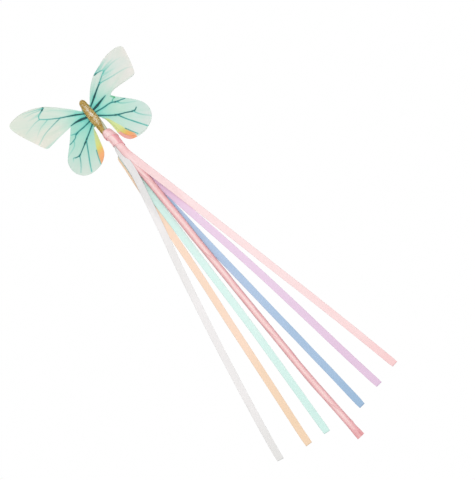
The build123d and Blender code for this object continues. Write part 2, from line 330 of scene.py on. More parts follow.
GLOW = 0.030     # what the cloth's own gloss adds back, taken off the dye
PICK_PITCH = 0.32    # mm between picks of the weave


def dye(tone):
    """Linear dye strength that shows as the sRGB tone under the studio light."""
    return [max(float(value) - GLOW, 0.004) for value in linear(tone)]


def satin(name, stops, hue, deep, across=1.0, rough=0.40, gloss=0.35):
    """Woven satin with painted sheen and shade: palest where the cloth faces the viewer, deeper
    toward edge-on.

    stops run from facing to edge-on; hue is the deeper tone that tone, blotches and streaks shift
    toward, deep that of painted shade at steps, folds, openings and edges; across multiplies the
    number of warp ends.
    """
    shader = new_shader(name)
    u = shader.attribute("rib_u")
    v = shader.attribute("rib_v")
    shade = shader.attribute("rib_s")
    tone = shader.attribute("rib_t")
    facing = shader.node("LayerWeight").outputs["Facing"]
    # painted sheen where the cloth faces the viewer, painted shade as it turns edge-on
    base = shader.ramp(facing, [(place, dye(colour)) for place, colour in stops], "EASE")
    second = [a / b for a, b in zip(dye(hue), dye(stops[0][1]))]
    base = shader.tint(tone, base, second)
    # a soft blotch of tone
    spread = shader.combine(shader.times(v, 0.085), shader.times(u, 0.5))
    blotch = shader.above(shader.noise(scale=1.0, detail=3.0, vector=spread), level=0.40, gain=1.6)
    base = shader.tint(shader.times(blotch, 0.35), base, second)
    # warp streaks: long floats with tiny breaks
    spread = shader.combine(shader.times(v, 0.35), shader.times(u, 22.0 * across))
    streak = shader.noise(scale=1.0, detail=2.0, vector=spread)
    contrast = shader.math("ABSOLUTE", shader.math("SUBTRACT", streak, 0.5))
    base = shader.tint(shader.times(contrast, 0.35, clamp=True), base, second)
    # selvedge: the outer tenth of each edge a touch deeper, painted shade across the width
    edge = shader.above(shader.math("ABSOLUTE", u), level=0.88, gain=8.0)
    base = shader.mix(shader.times(edge, 0.10), base, dye(deep))
    # rib_s pulls toward the deep tone: painted shade, and the sealed cut ends of the ribbons
    base = shader.mix(shader.times(shade, 0.9, clamp=True), base, dye(deep))
    # weave relief: picks across, warp ends along
    skew = shader.times(u, 3.0 * across)
    weft = shader.math("SINE", shader.scaled(v, gain=2 * math.pi / PICK_PITCH, offset=skew))
    warp = shader.math("SINE", shader.times(u, 60.0 * across))
    pick = shader.times(shader.math("ADD", weft, 1.0), shader.math("ADD", warp, 1.0))
    height = shader.scaled(pick, gain=0.25, offset=shader.times(streak, 1.2))
    tangent = shader.node("Tangent", direction_type="UV_MAP", uv_map="Satin")
    surface = shader.principled(base, shader.scaled(streak, gain=0.12, offset=rough - 0.06), {
        "Anisotropic": 0.5,
        "Specular IOR Level": gloss,
        "Tangent": tangent.outputs[0],
        "Normal": shader.bump(height, strength=0.18, distance=0.00003),
    })
    return shader.finish(shader.thin(surface, base, share=0.10))


# sRGB tones of each ribbon: facing (painted sheen), turning away, edge-on (painted shade), slow
# change
RIBBON_SHEEN_SHADE_TONES = {
    "pink": ((248, 227, 227), (244, 208, 209), (232, 166, 172), (245, 208, 208)),
    "lilac": ((233, 210, 231), (226, 196, 224), (208, 172, 212), (227, 200, 223)),
    "blue": ((181, 203, 228), (160, 184, 214), (132, 158, 196), (163, 191, 218)),
    "mint": ((217, 243, 237), (200, 230, 223), (170, 210, 202), (209, 238, 231)),
    "peach": ((247, 221, 202), (238, 205, 174), (218, 180, 140), (242, 215, 186)),
    "white": ((239, 236, 236), (230, 229, 229), (210, 212, 213), (228, 227, 225)),
}


def ribbon_satin(name, pale, middle, deep, hue):
    between = [(a * 3 + b) / 4 for a, b in zip(pale, middle)]
    # pale is painted sheen facing the viewer, deep is painted shade edge-on
    stops = [(0.0, pale), (0.12, between), (0.40, middle), (0.9, deep)]
    return satin(name, stops, hue, deep)


# facing position and sRGB tone, for the satin on the stick and on the neck: painted sheen facing
# the viewer, painted shade toward edge-on
WRAP_STOPS = [(0.0, (250, 229, 225)), (0.03, (248, 218, 216)), (0.13, (245, 203, 204)),
              (0.36, (237, 189, 190)), (0.9, (214, 160, 161))]
BINDING_STOPS = [(0.0, (250, 225, 222)), (0.06, (248, 220, 218)), (0.2, (247, 212, 212)),
                 (0.5, (248, 210, 211)), (0.95, (250, 208, 210))]

SATIN = {key: ribbon_satin("satin_" + key, *tones) for key, tones in RIBBON_SHEEN_SHADE_TONES.items()}
WRAP_SATIN = satin("satin_wrap", WRAP_STOPS, hue=(240, 196, 196), deep=(219, 150, 152),
                   across=3.0, rough=0.42, gloss=0.3)
BINDING_SATIN = satin("satin_binding", BINDING_STOPS, hue=(242, 184, 189), deep=(230, 156, 163),
                      across=2.0, rough=0.44, gloss=0.3)

# ------------------------------------------------------------------ film, glitter, wood, glue


def film_material():
    """Printed film: a fine grain, soft clouds, and a little light through."""
    shader = new_shader("printed_film")
    colour = shader.attribute("print_col", "Color")
    relief = shader.attribute("print_h")
    place = shader.object_space()
    grain = shader.noise(scale=5200.0, detail=2.0, vector=place)
    colour = shader.mix(shader.above(grain, level=0.35, gain=0.16), colour, (1.0, 1.0, 1.0))
    cloud = shader.noise(scale=140.0, detail=3.0, vector=place)
    clouded = shader.above(cloud, level=0.45, gain=0.30)
    colour = shader.tint(clouded, colour, (0.93, 0.985, 0.965))
    height = shader.scaled(grain, gain=0.35, offset=relief)
    surface = shader.principled(colour, shader.scaled(cloud, gain=0.18, offset=0.34), {
        "Specular IOR Level": 0.14,
        "Coat Weight": 0.02,
        "Coat Roughness": 0.3,
        "Normal": shader.bump(height, strength=0.25, distance=0.00006),
    })
    return shader.finish(shader.thin(surface, colour, share=0.16))


def glitter_material(name, metallic, rough):
    shader = new_shader(name)
    colour = shader.attribute("flake_col", "Color")
    grain = shader.noise(scale=2600.0, detail=2.0, vector=shader.object_space())
    colour = shader.tint(shader.times(grain, 0.5), colour, (0.55, 0.48, 0.36))
    return shader.finish(shader.principled(colour, shader.scaled(grain, gain=0.25, offset=rough), {
        "Metallic": metallic,
        "Normal": shader.bump(grain, strength=0.5, distance=0.00008),
    }))


def wood_material():
    """Birch, with the grain drawn out along the stick."""
    shader = new_shader("birch_dowel")
    stretch = {"Vector": shader.object_space(), "Scale": (900.0, 22.0, 900.0)}
    vector = shader.node("Mapping", stretch).outputs[0]
    grain = shader.noise(scale=1.0, detail=4.0, vector=vector)
    colour = shader.ramp(grain, [(0.25, linear((176, 138, 92))), (0.55, linear((214, 178, 130))),
                                 (0.8, linear((229, 200, 158)))])
    return shader.finish(shader.principled(colour, shader.scaled(grain, gain=0.2, offset=0.5), {
        "Normal": shader.bump(grain, strength=0.3, distance=0.00005),
    }))


def glue_material():
    shader = new_shader("hot_melt_glue")
    cloud = shader.noise(scale=420.0, detail=3.0, vector=shader.object_space())
    colour = shader.ramp(cloud, [(0.3, linear((226, 214, 184))), (0.7, linear((244, 236, 214)))])
    return shader.finish(shader.principled(colour, shader.scaled(cloud, gain=0.2, offset=0.2), {
        "Normal": shader.bump(cloud, strength=0.4, distance=0.0002),
    }))


FILM = film_material()
FLAKES = glitter_material("gold_flakes", metallic=0.3, rough=0.18)
FLAKE_BASE = glitter_material("gold_glue", metallic=0.1, rough=0.35)
WOOD = wood_material()
GLUE = glue_material()

# ------------------------------------------------------------------ the stick

STICK_BEND = (-1.75, 66.0)      # x, y where the centre line bends; it starts at 0, 0
STICK_TOP = (1.0, 314.5)
BEND_REACH = 13.2               # the bend is rounded this far to each side
WRAP_TOP = 309.0
# height, and how many turns the overlap edge has made there on the right of the stick
WRAP_TURNS = ([-60.0, 14.8, 83.6, 168.0, 250.0, 332.0], [-1.0, 0.0, 1.0, 2.0, 3.0, 4.0])
# painted shade along folds in the pressed foot, a negative strength a painted highlight: strength,
# angle, width in radians
FOOT_FOLD_SHADING = [(0.55, 0.42, 0.24), (-0.55, -0.12, 0.22), (0.35, -0.62, 0.16), (0.30, 1.0, 0.18)]
# rings turned inside the cut ends: scale in x, rise, scale in z, shade (painted shade inside the
# openings)
FOOT_RINGS = [(0.93, -0.02, 0.84, 0.2), (0.88, 0.5, 0.66, 0.8),
              (0.82, 1.6, 0.42, 1.0), (0.6, 2.6, 0.25, 1.0)]
TOP_RINGS = [(0.86, 0.0, 0.86, 1.0), (0.84, -2.0, 0.84, 1.0)]


def stick_x(y):
    """Centre line of the stick, with its bend rounded."""
    y = np.asarray(y, float)
    bend = STICK_BEND[1]
    low_slope = STICK_BEND[0] / bend
    high_slope = (STICK_TOP[0] - STICK_BEND[0]) / (STICK_TOP[1] - bend)
    t = np.clip((y - (bend - BEND_REACH)) / (2 * BEND_REACH), 0, 1)
    low = low_slope * np.minimum(y, bend - BEND_REACH)
    rounded = (low_slope * t + (high_slope - low_slope) * t * t / 2) * 2 * BEND_REACH
    return low + rounded + high_slope * np.maximum(y - (bend + BEND_REACH), 0)


def build_wrap():
    """Satin wound nearly lengthwise in one long overlapping spiral, pressed flat at the foot."""
    segments = 96
    heights = np.concatenate([np.linspace(-0.2, 20, 60), np.arange(20.6, 309.1, 0.9)])
    y, angle = tube_grid(heights, segments)
    turn = np.interp(y, *WRAP_TURNS) + (angle - np.pi / 2) / (2 * np.pi)
    part = turn - np.floor(turn)
    overlap = np.where(part < 0.02, part / 0.02, 1.0 - (part - 0.02) / 0.98)
    radius = 2.90 + 0.20 * overlap ** 1.3
    # fine drawn wrinkles that follow the winding
    wrinkles = noise_field(angle * 3.2 / (2 * np.pi) * 4 + y * 0.055, y * 0.05, 11, 3)
    radius += 0.030 * wrinkles * np.where(y < 300, 1, 0.4)

    # flare toward the foot, with a bulge on the right
    right = np.clip(np.sin(angle), 0, 1)
    left = np.clip(-np.sin(angle), 0, 1)
    flare = 1 - ease(y / 15.0)
    radius_x = radius + flare * (0.62 * right + 0.36 * left) + bell(y, 13.6, 1.7) * 0.42 * right
    # the wound cloth sits a touch to one side here and there
    radius_x -= 0.14 * right * ease((y - 62) / 20.0) * (1 - ease((y - 205) / 25.0))
    radius_x += 0.22 * ease((y - 200) / 35.0) * (1 - ease((y - 272) / 18.0)) * (right - left)
    # pressed flat and gathered at the very end
    pressed = 1 - ease((y - 1.0) / 9.0)
    x = stick_x(y) + radius_x * np.sin(angle)
    z = (radius - pressed * 1.25) * np.cos(angle)
    z += pressed * 0.16 * np.sin(angle * 5.0 + 0.6) * np.abs(np.cos(angle))

    # painted shadow along the overlap step; painted shade over the pressed foot, deepest along its
    # folds, with painted highlights where a fold's strength is negative
    overlap_shadow = np.clip(1.0 - np.abs(part - 0.012) / 0.018, 0, 1) * 0.7
    fold_shading = 0.30 + sum(strength * bell(signed(angle - place), 0, width)
                       for strength, place, width in FOOT_FOLD_SHADING)
    shade = np.clip(overlap_shadow + (1 - ease((y - 1.5) / 6.0)) * fold_shading, 0, 1)
    tone = 0.25 + 0.35 * noise_field(y / 14.0, angle, 15, 3) + 0.5 * (1 - ease((y - 3) / 20.0))
    tone = np.clip(tone, 0, 1)

    # columns: x, y, z, across, along, shade, tone
    skin = np.stack([x, y + pressed * 0.35 * np.sin(angle + 0.9), z,
                     angle / np.pi - 1, y, shade, tone], -1)
    rings = list(skin)
    for rim, height, inner_rings in ((0, 0.0, FOOT_RINGS), (-1, WRAP_TOP, TOP_RINGS)):
        centre = stick_x(height)
        for scale_x, rise, scale_z, inner_shade in inner_rings:
            ring = skin[rim].copy()
            ring[:, 0] = centre + (ring[:, 0] - centre) * scale_x
            ring[:, 1] += rise
            ring[:, 2] *= scale_z
            if rim == 0:
                ring[:, 4] = -rise
            # painted shade inside the openings, with the deepest tone
            ring[:, 5:] = inner_shade, 1.0
            rings.append(ring)
    count = len(heights)
    foot_end = count + len(FOOT_RINGS)
    top_end = foot_end + len(TOP_RINGS)
    faces = tube(range(count), segments)
    faces += tube([0, *range(count, foot_end)], segments) + [cap(foot_end - 1, segments)]
    faces += tube([count - 1, *range(foot_end, top_end)], segments)
    faces.append(cap(top_end - 1, segments)[::-1])
    table = np.concatenate(rings)
    ob = cloth_mesh("stick_wrap_satin", table[:, :3], faces, WRAP_SATIN, *table[:, 3:].T,
                    half_width=9.4)
    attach(ob, "wand")
    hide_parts("stick_wrap")


# ------------------------------------------------------------------ ribbons

STICK_RADIUS = 3.22
HALF_WIDTH = 3.0
HALF_THICKNESS = 0.075
TABLE_Z = FLOOR_Z + 0.16        # centre of cloth lying on the floor

# line: centre line x, y from the tie down; ends: left and right corners of the cut end;
# level: height after the tie; arc, rho: angle and radius at which it lies round the tie;
# leave: heights between which it leaves that arc; tone: height y and tone, 0 palest, rising toward
# the tie as painted shade where the ribbons crowd round the stick and under the binding;
# top, lift: for ribbons crossing over the stick, start height and clearance;
# wide: half width at the tie, and the heights between which it narrows
RIBBONS = {
    "pink": dict(
        line=[(1.2, 309.5), (1.25, 306), (1.35, 301.5), (1.9, 296.5), (3.1, 290.5), (4.3, 284.5),
              (5.7, 278.2), (7.8, 269), (10.2, 258.6), (14.3, 240), (18.4, 221), (22.5, 202),
              (28.3, 174.75), (34.2, 146.7), (40.3, 118.8), (46.1, 90.9), (51.8, 62.85),
              (57.2, 34.93), (58.7, 27.2)],
        ends=((56.0, 26.8), (61.4, 27.6)), level=-2.72, arc=0.09, rho=3.92,
        leave=(302.0, 290.5), wide=(3.875, 300.0, 290.0), top=1.15, lift=0.44,
        tone=[(27, 0.95), (33, 0.85), (45, 0.68), (65, 0.36), (90, 0.34), (115, 0.24),
              (140, 0.15), (165, 0.05), (190, 0.05), (215, 0.05), (235, 0), (250, 0.10),
              (262, 0.05), (272, 0.05), (280, 0.40), (286, 0.30), (292, 0.30), (297, 0.80),
              (303, 0.85), (310, 0.9)]),
    "white": dict(
        line=[(-0.5, 309.5), (-1.35, 306), (-2.05, 303), (-2.7, 298.5), (-3.15, 292.5),
              (-3.85, 285.5), (-5.25, 277), (-7.5, 268.4), (-10, 258.6), (-14.8, 239.5),
              (-19.8, 220), (-24.7, 202.2), (-31.4, 174.7), (-38, 146.9), (-44.2, 118.9),
              (-50.2, 91), (-55.8, 63), (-61.1, 35.1), (-62.3, 26.8)],
        ends=((-65.0, 27.5), (-59.6, 26.2)), level=-2.95, arc=-0.66, rho=3.74,
        leave=(313.0, 302.5), top=0.45, lift=0.18,
        tone=[(27, 0.95), (33, 0.80), (45, 0.70), (65, 0.35), (90, 0.18), (115, 0.18),
              (140, 0.15), (165, 0), (190, 0.40), (215, 0.40), (235, 0), (250, 0.05),
              (262, 0.45), (272, 0.15), (286, 0.2), (292, 0), (297, 0.35), (304, 0.6),
              (310, 1)]),
    "mint": dict(
        line=[(-1.2, 307), (-2.6, 303), (-3.4, 298), (-3.85, 291.5), (-4.45, 285), (-4.85, 278),
              (-5.1, 268), (-5.5, 255), (-6.2, 235), (-7.4, 210), (-8.4, 188.1), (-9.4, 166.2),
              (-10.5, 144.4), (-11.65, 122.5), (-13.15, 100.65), (-14.7, 78.8), (-16.3, 56.9),
              (-17.9, 35.07), (-18.9, 19.9)],
        ends=((-21.7, 20.2), (-16.2, 19.6)), level=-3.42, arc=-1.35, rho=3.52,
        leave=(309.0, 299.0),
        tone=[(20, 0.8), (33, 0.75), (65, 0.55), (90, 0.30), (115, 0.10), (140, 0), (190, 0),
              (215, 0.15), (235, 0.6), (262, 0.9), (300, 1)]),
    "peach": dict(
        line=[(-1.3, 307), (-2.9, 302.5), (-4.45, 299.3), (-5.15, 295.5), (-5.6, 290),
              (-6.3, 284), (-7.2, 276.5), (-8.2, 268), (-9.6, 256), (-11.9, 235), (-14.4, 210),
              (-16.8, 188.1), (-19.4, 166.2), (-22.15, 144.4), (-24.7, 122.5), (-27.25, 100.6),
              (-29.85, 78.8), (-32.5, 56.9), (-35.2, 35.04), (-36.5, 21.8)],
        ends=((-39.4, 22.0), (-33.6, 21.7)), level=-4.02, arc=-1.75, rho=3.38,
        leave=(307.0, 298.0),
        tone=[(22, 0.95), (45, 0.90), (65, 0.80), (90, 0.60), (115, 0.15), (140, 0.05),
              (165, 0.2), (190, 0.1), (215, 0.1), (240, 0.3), (280, 0.8), (300, 1)]),
    "lilac": dict(
        line=[(0.9, 307), (1.4, 302), (1.9, 296), (2.3, 290), (3.3, 279), (5.7, 260),
              (8.8, 240), (13.3, 211), (16.9, 188), (20.2, 165.6), (23.3, 143.1), (26.1, 120.8),
              (28.8, 98.5), (31.4, 76.3), (34.1, 53.9), (37, 31.7), (38.3, 22.8)],
        ends=((35.5, 22.6), (41.1, 22.9)), level=-3.62, arc=1.75, rho=3.60,
        leave=(307.0, 293.0),
        tone=[(23, 0.95), (45, 0.85), (65, 0.85), (90, 0.55), (115, 0.45), (140, 0.20),
              (165, 0.12), (190, 0.1), (215, 0.05), (235, 0.2), (250, 0.9), (290, 1)]),
    "blue": dict(
        line=[(0.7, 307), (0.75, 302), (0.75, 296), (0.8, 290), (1, 275), (1.7, 255),
              (2.6, 237), (3.9, 211), (5.2, 190), (6.5, 171.1), (7.8, 151.7), (9.1, 132.3),
              (10.4, 112.8), (11.8, 94), (13.1, 74), (14.5, 54.6), (15.75, 33.5),
              (16.7, 18.2)],
        ends=((14.0, 17.95), (19.3, 18.4)), level=-3.82, arc=2.4, rho=3.45,
        leave=(307.0, 293.0),
        tone=[(18, 1), (33, 0.95), (45, 0.75), (65, 0.55), (90, 0.50), (115, 0.35),
              (140, 0.15), (190, 0), (235, 0.1), (260, 0.8), (290, 1)]),
}


def over_stick(x, y, lift):
    """Height of cloth laid over the stick at x, falling off its shoulders."""
    reach = np.abs(x - stick_x(y))
    radius = STICK_RADIUS + lift
    slope = 0.50
    shoulder = radius * slope / math.sqrt(1 + slope * slope)
    arched = np.sqrt(np.maximum(radius * radius - np.minimum(reach, shoulder) ** 2, 0))
    shoulder_z = math.sqrt(radius * radius - shoulder * shoulder)
    return np.where(reach < shoulder, arched, shoulder_z - slope * (reach - shoulder))


def soft_max(first, second, softness):
    gap = np.abs(first - second)
    return np.maximum(first, second) + softness * np.log1p(np.exp(-gap / softness))


def ribbon_plan(spec, seed, across):
    """Grid x and y, length along the ribbon, and half width."""
    centre = catmull(spec["line"], 0.8)
    for _ in range(60):     # relax the centre line below the tie
        pull = centre[:-2] + centre[2:] - 2 * centre[1:-1]
        centre[1:-1] += 0.25 * pull * ease((290 - centre[1:-1, 1]) / 20)[:, None]
    tangent = np.gradient(centre, axis=0)
    tangent /= np.linalg.norm(tangent, axis=1)[:, None]
    along = arc_length(centre)
    half = np.full(len(centre), HALF_WIDTH)
    if "wide" in spec:
        wide, start, stop = spec["wide"]
        half += (wide - HALF_WIDTH) * ease((centre[:, 1] - stop) / (start - stop))
    half = (half * (1 + 0.012 * noise_line(along / 9.0, seed + 3, 2)))[:, None]
    # the ribbon runs down, so its +across side is +x
    x = centre[:, :1] - tangent[:, 1:] * half * across
    y = centre[:, 1:] + tangent[:, :1] * half * across
    # ease the last stretch onto the cut end, set a little past its corners
    run = (centre[-1] - centre[-4]) / np.linalg.norm(centre[-1] - centre[-4])
    left, right = (np.array(corner) + run * 0.55 for corner in spec["ends"])
    end = left + (right - left) * (across[:, None] + 1) / 2
    near_end = ease((along - (along[-1] - 5.0)) / 5.0)[:, None]
    x = x + (end[:, 0] - x[-1]) * near_end
    y = y + (end[:, 1] - y[-1]) * near_end
    return x, y, along[:, None], half


def ribbon_height(spec, seed, x, y, along, across):
    """Height of the ribbon: level near the tie, then down to the floor in slow waves."""
    radius = np.where(y > TIE[1], 0.0, np.hypot(x - TIE[0], y - TIE[1]))
    free = ease((radius - 118.0) / 60.0)
    level = spec["level"]
    sway = noise_line(along / 26.0, seed, 2)
    roll = noise_line(along / 34.0, seed + 7, 2)
    cup = noise_line(along / 48.0, seed + 9, 2) * 0.6 + 0.5

    def wave(rise, sway_size, roll_size, cup_size):
        return free * (sway_size * (sway + rise) + roll_size * roll * across
                       + cup_size * cup * (across * across))

    if "top" in spec:
        drop = spec["top"] + (level - spec["top"]) * ease((radius - 2.0) / 46.0)
        z = soft_max(drop, over_stick(x, y, spec["lift"]), softness=0.35)
        z = np.where(radius > 75, drop, z)
        settle = (TABLE_Z + 0.55 - level) * ease((radius - 105) / 90.0)
        waves = wave(rise=0.35, sway_size=0.55, roll_size=0.34, cup_size=0.22)
        z = z + settle * ease((radius - 105) / 20.0) + np.maximum(waves, -0.35)
    else:
        settle = (TABLE_Z + 0.35 - level) * ease((radius - 110) / 90.0)
        waves = wave(rise=0.30, sway_size=0.42, roll_size=0.30, cup_size=0.20)
        z = level + settle + np.maximum(waves, -0.30)
        z = np.maximum(z, np.where(radius > 80, TABLE_Z + 0.05, -99))
    # the free end lifts a little
    return z + free * 0.25 * (1 + math.sin(seed)) * ease((along - (along[-1] - 18)) / 18)


def ribbon_faces(rows, columns):
    """Faces of a thin closed strip: its top grid of vertices, then its bottom grid."""
    under = rows * columns
    faces = []

    def wall(first, second):
        faces.append((first, second, second + under, first + under))

    for i in range(rows - 1):
        for j in range(columns - 1):
            a = i * columns + j
            quad = (a, a + 1, a + columns + 1, a + columns)
            faces.append(quad)
            faces.append(tuple(under + quad[k] for k in (0, 3, 2, 1)))
        for j in (0, columns - 1):
            wall(i * columns + j, (i + 1) * columns + j)
    for i in (0, rows - 1):
        for j in range(columns - 1):
            wall(i * columns + j, i * columns + j + 1)
    return faces


def build_ribbon(name, spec, seed):
    columns = 17
    across = np.linspace(-1, 1, columns)
    x, y, along, half = ribbon_plan(spec, seed, across)
    z = ribbon_height(spec, seed, x, y, along, across)
    # the root lies round the tie
    angle = spec["arc"] + across * (half / spec["rho"])
    arc_x = stick_x(y) * 0.15 + 0.85 * 0.85 + spec["rho"] * 0.985 * np.sin(angle)
    arc_z = spec["rho"] * 1.06 * np.cos(angle)
    high, low = spec["leave"]
    wound = ease((y - low) / (high - low))
    x, z = lerp(x, arc_x, wound), lerp(z, arc_z, wound)
    middle = np.stack([x, y, z], -1)
    normal = np.cross(np.gradient(middle, axis=0), np.gradient(middle, axis=1))
    normal /= np.maximum(np.linalg.norm(normal, axis=2), 1e-9)[..., None]
    # thicker selvedges, with the outermost columns pulled together to round them
    bead = 1.0 + 0.45 * ease((np.abs(across) - 0.90) / 0.10)
    bead[[0, -1]] *= 0.35
    offset = normal * (HALF_THICKNESS * bead)[:, None]
    verts = np.concatenate([(middle + offset).reshape(-1, 3), (middle - offset).reshape(-1, 3)])

    # darker over the last 0.7 mm as the sealed cut end, and painted shade near the tie where the
    # ribbon goes into the binding
    shade = np.clip(1 - (along[-1] - along) / 0.7, 0, 1) * 0.35 + ease((y - 301.5) / 6.0) * 0.10
    tone = np.interp(y, *zip(*spec["tone"]))
    if name == "pink":      # deeper on the right of the tie, paler above it on the left
        # painted shade on the right of the tie and a painted highlight above it on the left
        tone = tone + 0.75 * bell(x, 2.3, 1.5) * bell(y, 300.0, 2.2)
        tone = tone + 0.9 * ease((x - 2.7) / 1.3) * ease((y - 300.5) / 2.5)
        tone = tone * (1 - 0.8 * ease((y - 302.0) / 3.0) * ease((1.8 - x) / 2.0))
    fields = [np.tile(np.broadcast_to(field, y.shape).ravel(), 2)
              for field in (across, along, np.clip(shade, 0, 1), np.clip(tone, 0, 1))]
    ob = cloth_mesh("ribbon_%s_satin" % name, verts, ribbon_faces(len(y), columns), SATIN[name],
                    *fields, half_width=HALF_WIDTH)
    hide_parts("ribbon_" + name)
    return ob


def build_ribbons():
    """All ribbons, each bending away from the wand just past the tie."""
    tie = np.array(TIE)
    for i, (name, spec) in enumerate(RIBBONS.items()):
        ob = build_ribbon(name, spec, 200 + 13 * i)
        away = np.array(spec["line"][-1]) - tie
        away = away / np.linalg.norm(away)
        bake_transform(ob)


# ------------------------------------------------------------------ neck binding

# outside of the tie: height, centre x, half width
NECK_PLAN = np.array([
    (299, 0.80, 3.70), (302, 0.78, 3.80), (305, 0.75, 4.05), (308, 0.62, 4.42),
    (311, 0.70, 4.50), (314, 0.75, 4.53), (316, 0.15, 4.75), (318, -0.28, 4.88),
    (320, -0.30, 4.58), (322, -0.42, 3.95), (324, -0.65, 3.15)])
# height, half depth
NECK_DEPTH = np.array([(299, 4.25), (303, 4.3), (308, 4.35), (313, 4.45), (317, 4.62),
                       (320, 4.45), (322, 4.05), (324, 3.4)])
# slanting edges of the turns: mean height, its front-back swing, its left-right swing
COLLAR_EDGE = (321.5, 1.5, -0.15)
FIRST_EDGE = (314.35, 2.05, -1.35)
SECOND_EDGE = (306.0, 1.6, -1.95)
MOUTH_EDGE = (302.2, 0.6, -1.2)
TURN_OVERLAP = 2.6
TURN_THICKNESS = 0.30


def neck_point(y, angle, depth, scale=1.0, rise=0.0):
    """Points round the tie, at a depth outside its profile."""
    centre, half = (np.interp(y, NECK_PLAN[:, 0], NECK_PLAN[:, k]) for k in (1, 2))
    half_z = np.interp(y, *NECK_DEPTH.T)
    return np.stack([centre + (half + depth) * scale * np.sin(angle), y + rise,
                     (half_z + depth) * scale * np.cos(angle)], -1)


def edge_height(edge, angle):
    mean, front_back, left_right = edge
    return mean + front_back * np.cos(angle) + left_right * np.sin(angle)


def tucked(edge):
    """The same edge raised, to lie under the turn above."""
    return (edge[0] + TURN_OVERLAP, *edge[1:])


def build_turn(top, bottom, lift_top, lift_bottom, flare, seed, shift, left, right):
    """One turn of the binding: a closed band between two slanting edges.

    The lifts stand it off the tie, flare opens its lower edge, shift slides the weave,
    left and right paint shade on those sides.
    """
    segments, rows = 120, 34
    down, angle = tube_grid(np.linspace(0, 1, rows), segments)
    y = lerp(edge_height(top, angle), edge_height(bottom, angle), down)
    opening = 0.35 + 0.65 * ease(0.5 - 0.5 * np.sin(angle + 0.3))
    lift = lerp(lift_top, lift_bottom, down) + flare * ease((down - 0.72) / 0.28) * opening
    # pulled folds: long shallow pleats that run with the winding
    pleat = 0.085 * noise_field(angle * 1.9 + down * 1.4, down * 1.6 + 3.0, seed, 2)
    pleat = pleat + 0.045 * np.sin(angle * 7 + down * 5 + seed) * ease(down * 1.4)
    depth = lift + pleat * (0.5 + 0.5 * ease(down * 2))
    outer = neck_point(y, angle, depth)
    inner = neck_point(y, angle, depth - TURN_THICKNESS, rise=0.05)

    # painted shade along the lower lip and at the top under the turn above, and a painted
    # highlight just above the lip
    shade = (0.55 * ease((down - 0.93) / 0.07) - 0.25 * bell(down, 0.84, 0.07)
             + 0.22 * ease((0.14 - down) / 0.14))
    # painted shade on the left edge and over the right side, plus random tone
    around = signed(angle)
    tone = (left * ease((-around - 0.58) / 0.40) + right * ease((around + 0.02) / 0.45)
            + 0.14 * noise_field(angle * 1.4, down * 2.2, seed + 5, 2))
    fields = (down * 2 - 1, angle * 4.3 + shift, np.clip(shade, 0, 1), np.clip(tone, 0, 1))
    faces = tube(range(rows), segments) + tube(range(rows, 2 * rows), segments)
    faces += tube([0, rows], segments) + tube([rows - 1, 2 * rows - 1], segments)
    verts = np.concatenate([outer.reshape(-1, 3), inner.reshape(-1, 3)])
    return verts, faces, np.array([np.tile(field.ravel(), 2) for field in fields])


def build_binding():
    turns = [
        build_turn(COLLAR_EDGE, FIRST_EDGE, lift_top=-0.05, lift_bottom=0.10, flare=0.26,
                   seed=31, shift=0, left=0.8, right=0.45),
        build_turn(tucked(FIRST_EDGE), SECOND_EDGE, lift_top=-0.34, lift_bottom=-0.04,
                   flare=0.20, seed=47, shift=11, left=0.30, right=0.95),
        build_turn(tucked(SECOND_EDGE), MOUTH_EDGE, lift_top=-0.62, lift_bottom=-0.80,
                   flare=0.0, seed=53, shift=23, left=0.2, right=0.3),
    ]
    all_faces = []
    start = 0
    for verts, faces, _ in turns:
        all_faces += [tuple(i + start for i in face) for face in faces]
        start += len(verts)
    ob = cloth_mesh("neck_binding_satin", np.concatenate([turn[0] for turn in turns]),
                    all_faces, BINDING_SATIN,
                    *np.concatenate([turn[2] for turn in turns], axis=1), half_width=4.0)
    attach(ob, "wand")
    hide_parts("neck_binding")


def build_neck_glue():
    """The hot-melt plug inside the tie, rounded off at both ends."""
    segments, rows = 48, 30
    y, angle = tube_grid(np.linspace(304.2, 319.4, rows), segments)
    lumps = 1 - 0.10 - 0.03 * noise_field(angle * 2.0, y * 0.5, 91, 2)
    end = np.sqrt(np.clip(1 - ((y - 311.8) / 7.62) ** 8, 0.01, 1))
    verts = neck_point(y, angle, depth=-0.75, scale=lumps * end)
    ob = make_mesh("neck_glue_plug", verts.reshape(-1, 3), capped_tube(rows, segments), GLUE)
    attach(ob, "wand")
    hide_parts("neck_glue")


# ------------------------------------------------------------------ butterfly body

# from the tail up: height, centre x, half width
BODY = np.array([
    (319.0, -2.6, 1.3), (322.5, -2.55, 1.65), (325.5, -2.15, 2.05), (328.5, -1.65, 2.60),
    (331.5, -1.35, 3.20), (334.5, -1.15, 3.60), (337.5, -1.10, 3.72), (341.0, -1.02, 3.55),
    (345.0, -0.92, 3.35), (348.0, -0.75, 3.15), (350.5, -0.50, 2.90), (352.3, -0.35, 2.45),
    (353.5, -0.25, 1.55), (354.1, -0.25, 0.30)])
BODY_DEPTH = 0.88           # depth against width
FLAKE_COUNT = 3000
FLAKE_CELL = 0.42           # at most two flakes in a cube this wide
FLAKE_SIZES = ([0.18, 0.24, 0.30, 0.38], [0.25, 0.35, 0.28, 0.12])      # radius, share
FLAKE_HALF_THICKNESS = 0.035
# GLINT_WHITE flakes are painted glints
GLINT_WHITE, PALE_GOLD, GOLD, DARK_GOLD = linear(
    [(255, 250, 236), (232, 205, 132), (210, 176, 86), (166, 128, 40)])


def body_half_width(y):
    return np.interp(y, BODY[:, 0], BODY[:, 2])


